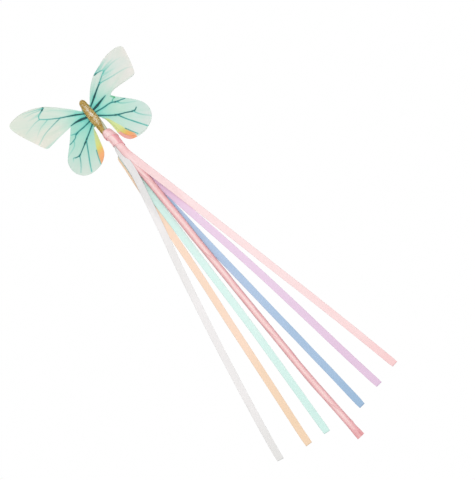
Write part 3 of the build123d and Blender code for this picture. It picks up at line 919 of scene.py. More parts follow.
def body_surface(y, angle):
    """Points on the body, and its half width there."""
    centre = np.interp(y, BODY[:, 0], BODY[:, 1])
    # slight waist behind the head and soft rings on the abdomen
    rings = 1 + 0.012 * np.sin((y - 320) * 2 * np.pi / 3.4) * (y < 341)
    half = body_half_width(y) * (1 - 0.035 * bell(y, 348.9, 1.0)) * rings
    z = 1.45 - 0.25 * ease((335 - y) / 15)
    points = [centre + half * np.sin(angle), y, z + half * BODY_DEPTH * np.cos(angle)]
    return np.stack(points, -1), half


def build_body_core():
    """The lumpy glue core under the glitter."""
    segments = 72
    heights = np.concatenate([[354.15], np.linspace(354.05, 352.5, 8),
                              np.linspace(352.1, 319.0, 84)])
    y, angle = tube_grid(heights, segments)
    points, half = body_surface(y, angle)
    lumps = (0.14 * noise_field(np.sin(angle) * 7 + 20, y * 1.6, 5, 3)
             + 0.05 * noise_field(np.cos(angle) * 12 + 33, y * 3.2, 6, 2))
    outward = np.stack([np.sin(angle), np.zeros_like(angle), np.cos(angle) * BODY_DEPTH], -1)
    swell = lumps * np.minimum(half / 2, 1) - 0.12 * np.minimum(half, 1)
    points = points + outward * swell[..., None]
    # painted shade: darker and more olive on the left flank, warmer in the middle
    left_flank_shade = ease((-np.sin(angle) - 0.1) / 0.9)[..., None]
    tone = 0.5 + 0.5 * noise_field(np.sin(angle) * 5, y * 0.9, 8, 3)
    colour = lerp(linear((192, 160, 88)), linear((178, 146, 62)), left_flank_shade)
    colour = colour * (0.75 + 0.45 * tone[..., None])
    ob = make_mesh("butterfly_body_core", points.reshape(-1, 3),
                   capped_tube(len(heights), segments), FLAKE_BASE,
                   {"flake_col": colour.reshape(-1, 3)})
    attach(ob, "wand")
    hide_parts("butterfly_body")


def flake_colour(rng, y, angle):
    # painted highlight: white glint flakes and pale flakes crowd a band a little right of the
    # middle
    glint_band = bell(math.sin(angle) - 0.18 - 0.006 * (338 - y), 0, 0.34) * (math.cos(angle) > 0)
    glint_band = glint_band * ease((350.5 - y) / 4.0) * ease((y - 327.0) / 6.0)
    kind = rng.rand()
    if kind < 0.06 + 0.74 * glint_band:
        colour = GLINT_WHITE
    elif kind < 0.42 + 0.50 * glint_band:
        colour = PALE_GOLD
    elif kind < 0.84:
        colour = GOLD
    else:
        colour = DARK_GOLD
    colour = colour * rng.uniform(0.88, 1.08)
    # the lower abdomen and the head are a deeper gold, the thorax is brighter
    deep = ease((333.0 - y) / 7.0) + 0.5 * ease((y - 348.0) / 4.0)
    colour = colour * (1 - deep * np.array([0.10, 0.14, 0.36])) * (1 + 0.10 * bell(y, 340.0, 5.0))
    return np.clip(colour, 0, 1)


def flake_normal(rng, y, angle):
    """The body's outward direction, tipped at random."""
    taper = body_half_width(y + 0.5) - body_half_width(y - 0.5)
    normal = np.array([np.sin(angle), -taper, np.cos(angle) / BODY_DEPTH])
    normal /= np.linalg.norm(normal)
    normal = normal + rng.normal(0, 0.34, 3)
    return normal / np.linalg.norm(normal)


def build_flakes():
    """Six-sided plates stuck on the body at slight angles."""
    rng = np.random.RandomState(77)
    verts, faces, colours = [], [], []
    count = tries = 0
    cells = {}
    while count < FLAKE_COUNT and tries < 20000:
        tries += 1
        y = rng.uniform(321.0, 353.9)
        angle = rng.uniform(0, 2 * np.pi)
        if rng.rand() > body_half_width(y) / 3.8:
            continue
        point = body_surface(y, angle)[0]
        key = tuple(int(value / FLAKE_CELL) for value in point)
        if cells.get(key, 0) >= 2:
            continue
        cells[key] = cells.get(key, 0) + 1
        normal = flake_normal(rng, y, angle)
        first = np.cross(normal, [0.3, 0.8, 0.5])
        first /= np.linalg.norm(first)
        second = np.cross(normal, first)
        size = rng.choice(FLAKE_SIZES[0], p=FLAKE_SIZES[1])
        centre = point + normal * rng.uniform(-0.02, 0.10)
        base = len(verts)
        spin = rng.uniform(0, np.pi)
        for level in (FLAKE_HALF_THICKNESS, -FLAKE_HALF_THICKNESS):
            for k in range(6):
                corner = spin + k * np.pi / 3
                reach = (first * np.cos(corner) + second * np.sin(corner)) * size
                verts.append(centre + reach + normal * level)
        faces.append(tuple(range(base, base + 6)))
        faces.append(tuple(range(base + 11, base + 5, -1)))
        for k in range(6):
            j = (k + 1) % 6
            faces.append((base + k, base + 6 + k, base + 6 + j, base + j))
        colours += [flake_colour(rng, y, angle)] * 12
        count += 1
    ob = make_mesh("butterfly_body_glitter", verts, faces, FLAKES, {"flake_col": colours},
                   smooth=False)
    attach(ob, "wand")


# ------------------------------------------------------------------ wing outlines

HEAD = np.array([-0.45, 353.9])
TILT = math.radians(4.3)                            # the body axis leans to the right
AXIS = np.array([math.sin(TILT), math.cos(TILT)])   # up the body
SIDE = np.array([math.cos(TILT), -math.sin(TILT)])  # to its right
CREASE = 4.2                # from the axis to each wing's crease
SHEET_Z = -2.95
UNDER_DROP = 0.42           # lower sheet below the upper one
DIHEDRAL = math.radians(7.0)
SHEET_HALF_THICKNESS = 0.11
SHEET_STEP = 0.42

# x, y round each lobe: fore lobes from the root out and back to the notch
LEFT_FORE = [
    (-5.3, 347.3), (-10.51, 353.48), (-16.22, 359.53), (-22.15, 365.33), (-26.49, 369),
    (-30.19, 371.25), (-36.44, 374.05), (-43.37, 375.95), (-49.56, 376.4), (-54.4, 375.95),
    (-57, 374.9), (-58.05, 373.2), (-58.05, 370.57), (-56.75, 365.12), (-54.43, 358.88),
    (-51.46, 352.11), (-48.87, 346.18), (-47.4, 343.1), (-46.2, 341.5), (-44.4, 340.75),
    (-39.93, 341.25), (-33.85, 342.1), (-28.02, 342.7), (-23.63, 343), (-20.3, 343.2)]
RIGHT_FORE = [
    (3.2, 347.3), (6.95, 351.84), (10.97, 356.02), (14.78, 359.3), (18.5, 361.9),
    (21.9, 363.6), (26, 365.05), (31.13, 366.7), (36.27, 368.1), (40.92, 368.8),
    (45.32, 368.85), (49.18, 368.3), (51.9, 367.3), (53.3, 365.9), (53.6, 363.8),
    (52.88, 359.82), (51.82, 355.32), (50.5, 350.51), (48.86, 345.96), (47.85, 343.8),
    (46.4, 342.7), (43.78, 342.42), (39.76, 342.79), (34.73, 343.35), (29.97, 343.85),
    (25.84, 343.95), (23.25, 343.5), (21.3, 342.4)]
# hind lobes from the notch round to the body
LEFT_HIND = [
    (-20.3, 343.2), (-22.91, 340.15), (-26.28, 336.5), (-30.3, 332.4), (-33.98, 328.93),
    (-37.5, 325.4), (-40.06, 322.1), (-41.3, 318.4), (-41.4, 313.69), (-39.9, 309.3),
    (-36.85, 305.6), (-32.84, 303.5), (-27.92, 302.8), (-22.9, 303.2), (-19.1, 304.4),
    (-15.38, 306.9), (-12.75, 309.56), (-11.06, 313.05), (-9.61, 317.76), (-8.2, 322.6),
    (-7, 327.2), (-6.6, 329.5)]
RIGHT_HIND = [
    (21.3, 342.4), (23.67, 338.98), (27.3, 334.8), (30.87, 330.75), (34.5, 326.5),
    (37, 322.7), (38.6, 318.92), (39, 314.85), (38, 310.93), (36.02, 307.7),
    (33.19, 305.2), (29.54, 303.3), (25.25, 302.25), (20.86, 302), (17, 302.5),
    (13.2, 303.5), (10.9, 304.7), (9.1, 306.5), (7.6, 309.2), (6.7, 312.2),
    (6.25, 315.4), (6.3, 318.8), (6.25, 322.8), (5.9, 327.4), (4.9, 331.2),
    (3.6, 333.6), (2.7, 335)]
# the upper right sheet is cut a little shorter along its lower inner margin
RIGHT_HIND_UPPER = RIGHT_HIND[:7] + [
    (38.95, 314.85), (37.9, 311), (35.8, 307.9), (32.9, 305.5), (29.3, 303.7),
    (25.2, 302.9), (20.9, 303), (17.4, 304), (14.2, 305.6), (11.8, 307.8),
    (10, 310.6), (8.8, 313.8), (8.1, 317.2), (7.6, 320.6), (7.1, 324.2),
    (6.3, 328), (5.1, 331.3), (3.7, 333.7), (2.8, 335)]

# ------------------------------------------------------------------ wing print tables

INK, DEEP, TEAL, AQUA, MIST = ((0, 58, 60), (4, 92, 97), (28, 134, 134), (88, 192, 180),
                               (150, 216, 200))
# painted light and shade setting the two wings' brightness apart, keyed by side, -1 left and 1
# right:
# fore lobe and hind lobe, each as colour factors near the root and far from it
SIDE_LIGHT_TINTS = {-1: (((1.13, 1.01, 1.035), (1.02, 0.99, 0.945)),
              ((0.85, 0.945, 0.945), (0.93, 0.95, 0.96))),
         1: (((1.02, 0.97, 0.99), (1.01, 0.985, 0.985)),
             ((1.03, 0.99, 0.985), (0.995, 0.985, 1.03)))}
# middle line of the turquoise wash on each fore lobe
WASH = {-1: [(-33.0, 357.5), (-52.0, 358.5)], 1: [(31.0, 357.5), (46.0, 356.5)]}
# line x, y; then start and end of its width, colour and strength
VEINS = {
    -1: [
        ([(-3, 343.3), (-6.5, 345.5), (-10.7, 348.05)], 0.9, 1.35, DEEP, INK, 1, 1),
        ([(-10.7, 348.05), (-16.3, 351), (-22, 353.9)], 1.35, 0.75, INK, TEAL, 1, 1),
        ([(-22, 353.9), (-26.2, 356.6), (-30.4, 359.3), (-35.6, 363.4)],
         0.75, 0.6, TEAL, AQUA, 1, 0.9),
        ([(-35.6, 363.4), (-35.2, 364.8), (-34.2, 366.1), (-31.4, 367.2), (-28.6, 368.2)],
         0.6, 1, AQUA, TEAL, 0.9, 1),
        ([(-29.4, 367.9), (-27.6, 369)], 1.3, 1.5, INK, INK, 1, 1),
        ([(-27.9, 368.9), (-32.8, 371), (-36.8, 372.6), (-43.5, 375.2)],
         0.6, 0.5, AQUA, MIST, 0.9, 0.2),
        ([(-27.9, 368.6), (-32.8, 369.5), (-36.8, 371), (-44.5, 372.3)],
         0.5, 0.5, AQUA, MIST, 0.8, 0.2),
        ([(-33.2, 366.6), (-38, 367.2), (-45, 368.4)], 1.6, 0.8, MIST, MIST, 0.5, 0),
        ([(-35.6, 363.4), (-41.3, 363.2), (-51.7, 360.9)], 0.5, 0.4, AQUA, MIST, 0.7, 0.15),
        ([(-30.7, 359.2), (-35, 358.3), (-39.6, 357.2), (-45.8, 353.8)],
         0.5, 0.4, AQUA, MIST, 0.75, 0.2),
        ([(-22, 353.9), (-31.6, 352.8), (-40.3, 351.2), (-48.7, 347.7)],
         0.65, 0.45, TEAL, MIST, 0.9, 0.5),
        ([(-2.5, 340), (-5.5, 341), (-9.8, 342.5)], 1.9, 2.3, DEEP, INK, 1, 1),
        ([(-9.8, 342.5), (-14.6, 343.5), (-19.4, 343.7)], 2.3, 0.6, INK, DEEP, 1, 1),
        ([(-3.5, 337.2), (-6.1, 336.9), (-11.9, 336.3), (-19.8, 335.9), (-23.4, 333.6),
          (-28, 332.5), (-30.3, 332.35)], 1.1, 0.6, DEEP, TEAL, 1, 0.9),
        ([(-18.8, 336), (-20.6, 335.6)], 1.2, 1.1, DEEP, DEEP, 0.9, 0.9),
        ([(-19.8, 335.9), (-22.2, 336.9), (-24.6, 337.9)], 0.65, 0.5, TEAL, AQUA, 1, 0.8),
        ([(-25.2, 333), (-27, 330), (-29.4, 328.3), (-33.9, 326.7), (-37.3, 325.3)],
         0.6, 0.5, AQUA, MIST, 0.85, 0.3),
        ([(-3.8, 334.6), (-6.6, 333), (-11.9, 329.9), (-18, 326.4), (-21.9, 324.3),
          (-27.6, 321.3), (-29.5, 320.4), (-33.1, 321.2)], 1.15, 0.7, DEEP, DEEP, 1, 1),
        ([(-15.8, 327.7), (-18, 326.4), (-20.4, 325.2)], 1.3, 1.2, INK, INK, 0.9, 0.9),
        ([(-28.7, 320.8), (-30.2, 320.4)], 1.3, 1.1, DEEP, DEEP, 0.9, 0.9),
        ([(-33.1, 321.2), (-34.6, 322), (-36.4, 319.4)], 0.6, 0.4, TEAL, MIST, 1, 0.3),
        ([(-29.5, 320.2), (-31.3, 317), (-34, 313), (-37.3, 309.1)],
         0.7, 0.55, TEAL, AQUA, 0.9, 0.5),
        ([(-17.4, 326.6), (-21.5, 319.6), (-26.6, 310.9), (-30.1, 304.3)],
         0.8, 0.75, TEAL, AQUA, 1, 1),
        ([(-16.1, 315.4), (-18.3, 310.5), (-20.5, 304.6)], 0.6, 0.7, TEAL, AQUA, 1, 0.9),
        ([(-9, 349.2), (-14.5, 355), (-22, 362), (-30, 366.8)], 0.8, 0.5, MIST, MIST, 0.4, 0.1),
    ],
    1: [
        ([(1, 344.6), (3.7, 346.1), (6.6, 347.7), (9.8, 349.5)], 0.9, 1.7, DEEP, INK, 1, 1),
        ([(9.8, 349.5), (13, 351.3), (16, 353), (20, 355)], 1.7, 0.85, INK, DEEP, 1, 1),
        ([(20, 355), (22.9, 356.8), (26, 358.6), (29.9, 360.7)], 0.8, 0.6, TEAL, AQUA, 1, 0.9),
        ([(19, 354.5), (20.8, 355.4)], 1.2, 1.2, DEEP, DEEP, 0.9, 0.9),
        ([(29.9, 360.7), (28.6, 361.7), (25, 362.6), (22.6, 362.9)],
         0.6, 0.8, AQUA, TEAL, 0.85, 1),
        ([(23.2, 362.8), (21.4, 363.1)], 1.1, 1.2, INK, INK, 1, 1),
        ([(21.8, 363.2), (26, 364.3), (31.1, 365.8), (36, 367)], 0.7, 0.5, AQUA, MIST, 1, 0.2),
        ([(20, 355), (24, 354.4), (30, 353.1), (39.6, 351.6), (45.8, 350.1), (49.8, 347.6)],
         0.7, 0.45, AQUA, MIST, 0.95, 0.1),
        ([(27.7, 359.4), (33, 360.5), (39.9, 361), (46.5, 360)], 0.8, 0.5, AQUA, MIST, 0.8, 0.1),
        ([(29.5, 361.2), (36, 362.6), (43.5, 363.2)], 1.6, 0.8, MIST, MIST, 0.75, 0),
        ([(27, 363.4), (33, 365.2), (40, 366.4)], 1.4, 0.7, MIST, MIST, 0.7, 0),
        ([(26.5, 358.5), (32, 357.4), (39, 356.2)], 1.5, 0.7, MIST, MIST, 0.7, 0),
        ([(22, 356.4), (28, 356), (35, 354.4)], 1.3, 0.7, MIST, MIST, 0.5, 0),
        ([(1.5, 341.9), (3.5, 342.4), (7.5, 342.9)], 1.8, 2.3, DEEP, INK, 1, 1),
        ([(7.5, 342.9), (12.7, 343.9), (17.8, 344.7)], 2.3, 0.5, INK, DEEP, 1, 1),
        ([(1.2, 339.6), (3.4, 339.6), (10.2, 338.4), (15.3, 337.9), (18.4, 337.1),
          (21.4, 335.2), (25, 334.1), (28.6, 332.7)], 1.1, 0.7, DEEP, TEAL, 1, 1),
        ([(20.4, 335.8), (22.6, 334.7)], 1.3, 1.2, DEEP, DEEP, 0.9, 0.9),
        ([(21.6, 335), (23.4, 332.2), (26, 330.1), (33.7, 325.3)],
         0.65, 0.5, AQUA, MIST, 0.95, 0.3),
        ([(18.4, 337.2), (20.5, 338.6), (22.3, 338.9)],
         0.6, 0.5, TEAL, (70, 180, 130), 0.9, 0.9),
        ([(22.6, 338.9), (21.7, 340.2), (20.9, 341.5)],
         1.2, 1, (60, 170, 100), (90, 190, 120), 0.85, 0.7),
        ([(1.2, 337.4), (3.1, 336.2), (9.3, 330.9), (15.4, 326.6), (21.6, 323.6),
          (27.1, 320.5), (29.2, 320.4), (31, 321.3)], 1.15, 0.8, DEEP, DEEP, 1, 1),
        ([(13.6, 327.7), (15.4, 326.6), (17.4, 325.6)], 1.3, 1.1, INK, DEEP, 0.95, 0.8),
        ([(26.2, 321), (28, 320.3)], 1.3, 1.2, DEEP, DEEP, 0.9, 0.9),
        ([(27.2, 320.3), (28.6, 317.4), (31.3, 313.3), (35.9, 308.4)],
         0.7, 0.5, AQUA, MIST, 1, 0.4),
        ([(15.3, 326.5), (18.6, 320), (23.1, 312.5), (28.4, 304)], 0.9, 0.8, TEAL, AQUA, 1, 1),
        ([(13.2, 314), (15.8, 308.9), (18.4, 304)], 0.7, 0.7, TEAL, AQUA, 1, 0.95),
        ([(8, 350), (13.5, 355), (20.5, 360.3)], 0.8, 0.5, MIST, MIST, 0.45, 0.1),
    ],
}
# the coloured strip on each hind lobe's margin next to the body:
# its boundary on the lobe, then the one at the cut edge
MARGIN = {
    -1: ([(-5.2, 333.5), (-7.4, 329.8), (-10.8, 324.7), (-13.6, 320), (-16.3, 315),
          (-18.4, 310.2), (-20.7, 304)],
         [(-5.6, 331.5), (-6.9, 327.2), (-8.2, 322.6), (-9.6, 317.8), (-11.1, 313),
          (-12.8, 309.5), (-15.8, 305.6)]),
    1: ([(5, 333.5), (8, 328.6), (10.4, 322.4), (12.3, 317.6), (13.3, 314), (15.9, 308.9),
         (18.6, 303)],
        [(3.8, 332.5), (5.2, 327.8), (6, 322), (6.3, 317), (6.6, 312), (9.2, 306.2),
         (15.2, 302.2)]),
}
# height y and sRGB tone of that strip, from the bottom up
MARGIN_TONES = {
    -1: [(303, (248, 178, 128)), (307.5, (249, 176, 120)), (310.5, (250, 184, 124)),
         (313.2, (242, 196, 112)), (315.2, (228, 214, 112)), (318, (220, 226, 134)),
         (323, (213, 227, 152)), (330, (206, 222, 152)), (334.5, (204, 208, 140))],
    1: [(302, (226, 206, 180)), (304.6, (238, 176, 136)), (307, (242, 172, 112)),
        (309.4, (238, 182, 104)), (311.6, (230, 198, 106)), (313.2, (218, 210, 118)),
        (317, (214, 226, 152)), (324, (210, 226, 156)), (331, (200, 212, 138)),
        (335, (196, 196, 116))],
}

# ------------------------------------------------------------------ wing print


def line_distance(x, y, line):
    """Distance to a curve, and how far along it the nearest point is (0..1)."""
    points = catmull(line, 0.6) if len(line) > 2 else np.array(line, float)
    best, where = np.full(x.shape, 1e9), np.zeros(x.shape)
    starts = arc_length(points)
    for start, end, done, reached in zip(points, points[1:], starts, starts[1:]):
        step = end - start
        t = ((x - start[0]) * step[0] + (y - start[1]) * step[1]) / max(step @ step, 1e-9)
        t = np.clip(t, 0, 1)
        distance = np.hypot(x - start[0] - step[0] * t, y - start[1] - step[1] * t)
        nearer = distance < best
        best = np.where(nearer, distance, best)
        where = np.where(nearer, (done + (reached - done) * t) / starts[-1], where)
    return best, where


def inside(x, y, polygon):
    result = np.zeros(x.shape, bool)
    for i in range(len(polygon)):
        (x1, y1), (x0, y0) = polygon[i], polygon[i - 1]
        crosses = (y1 > y) != (y0 > y)
        result ^= crosses & (x < (x0 - x1) * (y - y1) / (y0 - y1 + 1e-12) + x1)
    return result


def from_root(x, y, side):
    """Outward and upward from the wing's root, then radius and angle."""
    out = (x - (-0.9 + side * 2.6)) * side
    up = y - 339.5
    return out, up, np.hypot(out, up), np.arctan2(up, out)


def print_ground(x, y, side, rays):
    """Ground colour: turquoise at the root to a pale grey-green at the rim."""
    out, up, radius, angle = from_root(x, y, side)
    fore = ease((y - 342.6) / 2.2 + 0.5)
    red_fore = np.interp(radius, [0, 6, 13, 20, 27, 36, 46, 60],
                         [112, 140, 172, 194, 210, 220, 226, 228])
    red_hind = np.interp(radius, [0, 6, 13, 20, 27, 34, 42, 60],
                         [126, 154, 177, 189, 195, 201, 208, 210])
    green = np.interp(radius, [0, 8, 14, 25, 35, 60], [217, 225, 227, 229, 230, 231])
    blue_steps = [0, 8, 14, 22, 30, 40, 50]
    blue_fore = np.interp(radius, blue_steps, [205, 209, 210, 215, 220, 223, 224])
    blue_hind = np.interp(radius, blue_steps, [206, 211, 211, 212, 215, 218, 220])
    warm = ease((20 - (y - 302)) / 22.0) * 10 + ease((out - 24) / 14.0) * 2
    red_hind = red_hind + warm * ease((radius - 12) / 12)
    # the upper edge of the fore lobe keeps more colour than its lower edge
    lead = ease((up - 0.42 * out + 1.0) / 9.0) * fore
    red_fore = red_fore - lead * (6 if side < 0 else 1) * ease((radius - 18) / 14)
    red = lerp(red_hind, red_fore, fore) + (1 - lead) * fore * 4 * ease((radius - 16) / 12)
    colour = linear(np.stack([red, green, lerp(blue_hind, blue_fore, fore)], -1))
    far = ease((radius - 14) / 26)[..., None]
    # per-side painted light and shade
    fore_tint, hind_tint = (lerp(np.array(near), np.array(rim), far) for near, rim in SIDE_LIGHT_TINTS[side])
    colour = colour * lerp(hind_tint, fore_tint, fore[..., None])
    # a wash of turquoise where the fore lobe's veins fan out
    distance, along = line_distance(x, y, WASH[side])
    wash = bell(distance, 0, 4.6) * fore * (1 - 0.15 * along)
    colour = colour * (1 - wash[..., None] * np.array([0.135, 0.012, 0.02]))
    # fine rays from the root, then soft bands across them
    streaks = 0.060 * rays + 0.035 * noise_line(angle * 70.0 + 90, 103, 2)
    streaks = streaks * ease(radius / 10.0) * (1 - 0.55 * ease((radius - 22) / 20))
    streaks = np.where(streaks > 0, 0.6 * streaks, streaks)
    colour = colour * (1 + streaks[..., None] * np.array([1.9, 0.25, 0.75]))
    band = noise_field(radius * 0.16 + 7, angle * 5.0 + 11, 104, 2)
    return colour * (1 + 0.03 * band[..., None] * np.array([1.0, 0.5, 0.8]))


def print_margin(colour, x, y, side, under, rays):
    """Lay the coloured strip over the hind lobe's margin."""
    lobe_line, cut_line = MARGIN[side]
    distance = line_distance(x, y, lobe_line)[0]
    # pushed outward so the strip reaches the cut edge
    beyond = catmull(cut_line, 1.0)[::-1] - np.array([side * 3.0, 1.0])
    in_strip = inside(x, y, np.concatenate([catmull(lobe_line, 1.0), beyond]))
    depth = np.where(in_strip, distance, -distance)
    mask = ease((depth + 0.25) / 0.9) * ease((334.0 - y) / 6.0)
    level = y
    if side > 0:
        beside = ease((x - 16.2 + 0.35 * (305.5 - y)) / 1.6)
        mask = mask * (1 - beside * ease((308.2 - y) / 1.5))
        level = y - 0.10 * (x - 8)
    heights, tones = zip(*MARGIN_TONES[side])
    strip = np.stack([np.interp(level, heights, channel) for channel in linear(tones).T], -1)
    if under and side > 0:
        low_tone = lerp(linear((230, 172, 160)), linear((240, 166, 118)),
                        ease((x - 10.5) / 3.5)[..., None])
        strip = lerp(strip, low_tone, ease((315.6 - y) / 1.2)[..., None])
    strip = strip * (1 + 0.05 * rays[..., None]) * (0.94 if side < 0 else 1.0)
    return lerp(colour, strip, mask[..., None])


def print_veins(colour, x, y, side):
    """Draw the veins into the colours, and return their relief."""
    relief = np.zeros_like(x)
    radius = from_root(x, y, side)[2]
    strokes = []
    for line, width0, width1, tone0, tone1, strength0, strength1 in VEINS[side]:
        low, high = np.min(line, axis=0) - 3, np.max(line, axis=0) + 3
        near = (x > low[0]) & (x < high[0]) & (y > low[1]) & (y < high[1])
        if not near.any():
            continue
        distance, t = line_distance(x[near], y[near], line)
        half = lerp(width0, width1, t) / 2 * (1 + 0.12 * noise_line(t * 12 + width0 * 7, 7, 2))
        tone = lerp(linear(tone0), linear(tone1), t[:, None])
        strokes.append((near, distance, half, tone, lerp(strength0, strength1, t), width0))
    # the turquoise bleed round every line
    for near, distance, half, _, strength, width0 in strokes:
        closeness = 1 - ease((radius[near] - 6) / 20)
        halo = bell(np.maximum(distance - half, 0), 0, 0.50 + 0.60 * closeness)
        halo = halo * (0.26 + 0.26 * closeness) * strength
        bleed = linear((96, 214, 198) if width0 > 0.55 else (150, 218, 202))
        colour[near] = lerp(colour[near], bleed, halo[:, None])
    # the ink, which thins to turquoise at the vein's edges
    for near, distance, half, tone, strength, width0 in strokes:
        fringe = ease((distance / np.maximum(half, 0.05) - 0.45) / 0.75)[:, None] * 0.6
        tone = lerp(tone, linear((30, 160, 156)), fringe)
        core = ease((half + 0.20 - distance) / 0.34) * strength
        colour[near] = lerp(colour[near], tone, core[:, None])
        raised = ease((half + 0.25 - distance) / 0.5) * strength * min(1.0, width0)
        relief[near] = np.maximum(relief[near], raised)
    return relief


def wing_print(x, y, side, under=False):
    """Colour and relief of the print at points of one side."""
    rays = noise_line(from_root(x, y, side)[3] * 26.0 + 40, 101 if side > 0 else 102, 3)
    colour = print_ground(x, y, side, rays)
    colour = print_margin(colour, x, y, side, under, rays)
    relief = print_veins(colour, x, y, side)
    return np.clip(colour, 0, 1), relief


# ------------------------------------------------------------------ wing sheets


def up_axis(x, y):
    """How far up the body axis from the head; negative toward the tail."""
    return (np.stack([x, y], -1) - HEAD) @ AXIS


def crease_frame(side):
    """Upper end of a wing's crease, the way out from it, and the way up along it."""
    angle = math.radians(8.5 if side > 0 else 0.0)
    cos, sin = math.cos(angle), math.sin(angle)
    turn = np.array([[cos, -sin], [sin, cos]])
    return HEAD + SIDE * side * CREASE - AXIS * 6.6, side * (turn @ SIDE), turn @ AXIS


def wing_local(points, side):
    """How far out from the crease, and how far up along it from its upper end."""
    top, out, along = crease_frame(side)
    return (points - top) @ out, (points - top) @ along


def crease_point(side, up, out):
    top, outward, along = crease_frame(side)
    return top + outward * out + along * up


def wing_height(x, y, side, under):
    """Height of the sheet: crease, dihedral, cupped lobes and a soft ripple."""
    up = up_axis(x, y)
    out = np.maximum(wing_local(np.stack([x, y], -1), side)[0], 0)
    z = SHEET_Z + out * math.tan(DIHEDRAL) * ease(out / 6.0 + 0.35)
    # fore lobes arch, hind lobes cup the other way; a valley runs to the notch
    fore = ease((up + 11.5) / 6.0)
    fore_z = (0.9 * np.sin(np.clip(out / 52.0, 0, 1) * np.pi)
              + 0.5 * ((up - 4) / 16.0) * ease(out / 30))
    hind_z = (-0.55 * np.sin(np.clip(out / 38.0, 0, 1) * np.pi)
              + 0.7 * ease((-up - 34) / 16) * ease(out / 12))
    z = z + lerp(hind_z, fore_z, fore)
    z = z - bell(up + 11.0 - 0.02 * out, 0, 3.4) * ease(out / 8) * 0.55
    seed = (61 if side > 0 else 62) + (5 if under else 0)
    z = z + 0.42 * noise_field(x / 21.0 + 9, y / 21.0 + 4, seed, 2) * ease(out / 12)
    # pleating between veins, strongest near the root
    _, _, radius, angle = from_root(x, y, side)
    z = z + 0.10 * np.sin(angle * 15.0) * ease(out / 5) * np.exp(-radius / 40)
    if under:
        z = z - UNDER_DROP - 0.55 * ease((out - 3) / 30.0)
    return z


def fill_points(polygon, step, clear):
    """Hexagonal grid points inside a polygon, kept clear of its edge."""
    low, high = polygon.min(0), polygon.max(0)
    rows = []
    y = low[1]
    while y < high[1]:
        row_x = np.arange(low[0] + (step / 2 if len(rows) % 2 else 0), high[0], step)
        rows.append(np.stack([row_x, np.full_like(row_x, y)], 1))
        y += step * 0.866
    grid = np.concatenate(rows)
    grid = grid[inside(grid[:, 0], grid[:, 1], polygon)]
    best = np.full(len(grid), 1e9)
    for start, end in zip(polygon, np.roll(polygon, -1, axis=0)):
        near = (np.abs(grid - start) < 2.5).all(axis=1)
        if not near.any():
            continue
        edge = end - start
        t = np.clip(((grid[near] - start) @ edge) / max(edge @ edge, 1e-9), 0, 1)
        distance = np.linalg.norm(grid[near] - start - t[:, None] * edge, axis=1)
        best[near] = np.minimum(best[near], distance)
    return grid[best > clear]


def sheet_mesh(name, outline, height, print_at):
    """A closed thin sheet over an outline, with the print as vertex colours.

    height(x, y) gives z; print_at(x, y) gives colour and relief.
    """
    # drop points that nearly repeat their neighbour
    kept = [outline[0]]
    for point in outline[1:]:
        if np.linalg.norm(point - kept[-1]) > 0.08:
            kept.append(point)
    if np.linalg.norm(kept[0] - kept[-1]) < 0.08:
        kept.pop()
    outline = np.array(kept)
    count = len(outline)
    points = np.concatenate([outline, fill_points(outline, SHEET_STEP, SHEET_STEP * 0.45)])
    # output type 1 keeps only the triangles inside the outline
    result = delaunay_2d_cdt([Vector((float(x), float(y))) for x, y in points],
                             [(i, (i + 1) % count) for i in range(count)],
                             [list(range(count))], 1, 1e-5)
    x, y = np.array([(point.x, point.y) for point in result[0]]).T
    triangles = [tuple(face) for face in result[2]]
    edges = [pair for face in triangles for pair in zip(face, face[1:] + face[:1])]
    known = set(edges)
    border = [(a, b) for a, b in edges if (b, a) not in known]
    colour, relief = print_at(x, y)
    z = height(x, y)
    half = np.full(len(x), SHEET_HALF_THICKNESS)
    half[list({i for edge in border for i in edge})] *= 0.55
    verts = np.concatenate([np.stack([x, y, z + half + relief * 0.05], 1),
                            np.stack([x, y, z - half], 1)])
    under = len(x)
    faces = triangles + [tuple(i + under for i in face[::-1]) for face in triangles]
    faces += [(b, a, a + under, b + under) for a, b in border]
    # the print shows through, paler, on the back
    back = colour * 0.82 + 0.18 * linear((232, 240, 234))
    ob = make_mesh(name, verts, faces, FILM, {
        "print_col": np.concatenate([colour, back]),
        "print_h": np.concatenate([relief, relief * 0.4]),
    })
    return ob


def wing_outline(side, fore, hind, off, pose=None):
    """Outline of one side's sheet, from the crease round both lobes and back.

    off places its root edge out from the crease; pose is a turn in degrees and a shift.
    """
    points = np.concatenate([catmull(fore, 0.4), catmull(hind, 0.4)[1:]])
    if pose:
        turn, shift = pose
        pivot = crease_point(side, -5.4, 0.0)
        angle = math.radians(turn) * side
        cos, sin = math.cos(angle), math.sin(angle)
        x, y = (points - pivot).T
        points = pivot + np.stack([x * cos - y * sin, x * sin + y * cos], 1) + np.array(shift)
    beyond = np.where(wing_local(points, side)[0] > off + 0.2)[0]
    points = points[beyond[0]: beyond[-1] + 1]
    up_start, up_end = wing_local(points[[0, -1]], side)[1]
    steps = np.linspace(up_end, up_start, int(abs(up_start - up_end) / 0.4))
    return np.concatenate([points, [crease_point(side, up, off) for up in steps]])


def build_wings():
    # side, word, fore lobe, upper and under hind lobes, pose of the under sheet
    wings = (
        (-1, "left", LEFT_FORE, LEFT_HIND, LEFT_HIND, (0.5, (0.1, -0.1))),
        (1, "right", RIGHT_FORE, RIGHT_HIND_UPPER, RIGHT_HIND, (0.0, (0.001, 0.0))),
    )
    for side, word, fore, hind_upper, hind_under, pose in wings:
        for under in (False, True):
            if under:
                outline = wing_outline(side, fore, hind_under, off=-0.10, pose=pose)
            else:
                outline = wing_outline(side, fore, hind_upper, off=-0.12)
            node = "%s_wing_%s" % (word, "under" if under else "upper")
            ob = sheet_mesh(node + "_sheet", outline,
                            lambda x, y: wing_height(x, y, side, under),
                            lambda x, y: wing_print(x, y, side, under))
            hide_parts(node)
            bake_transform(ob)


# ------------------------------------------------------------------ centre strip

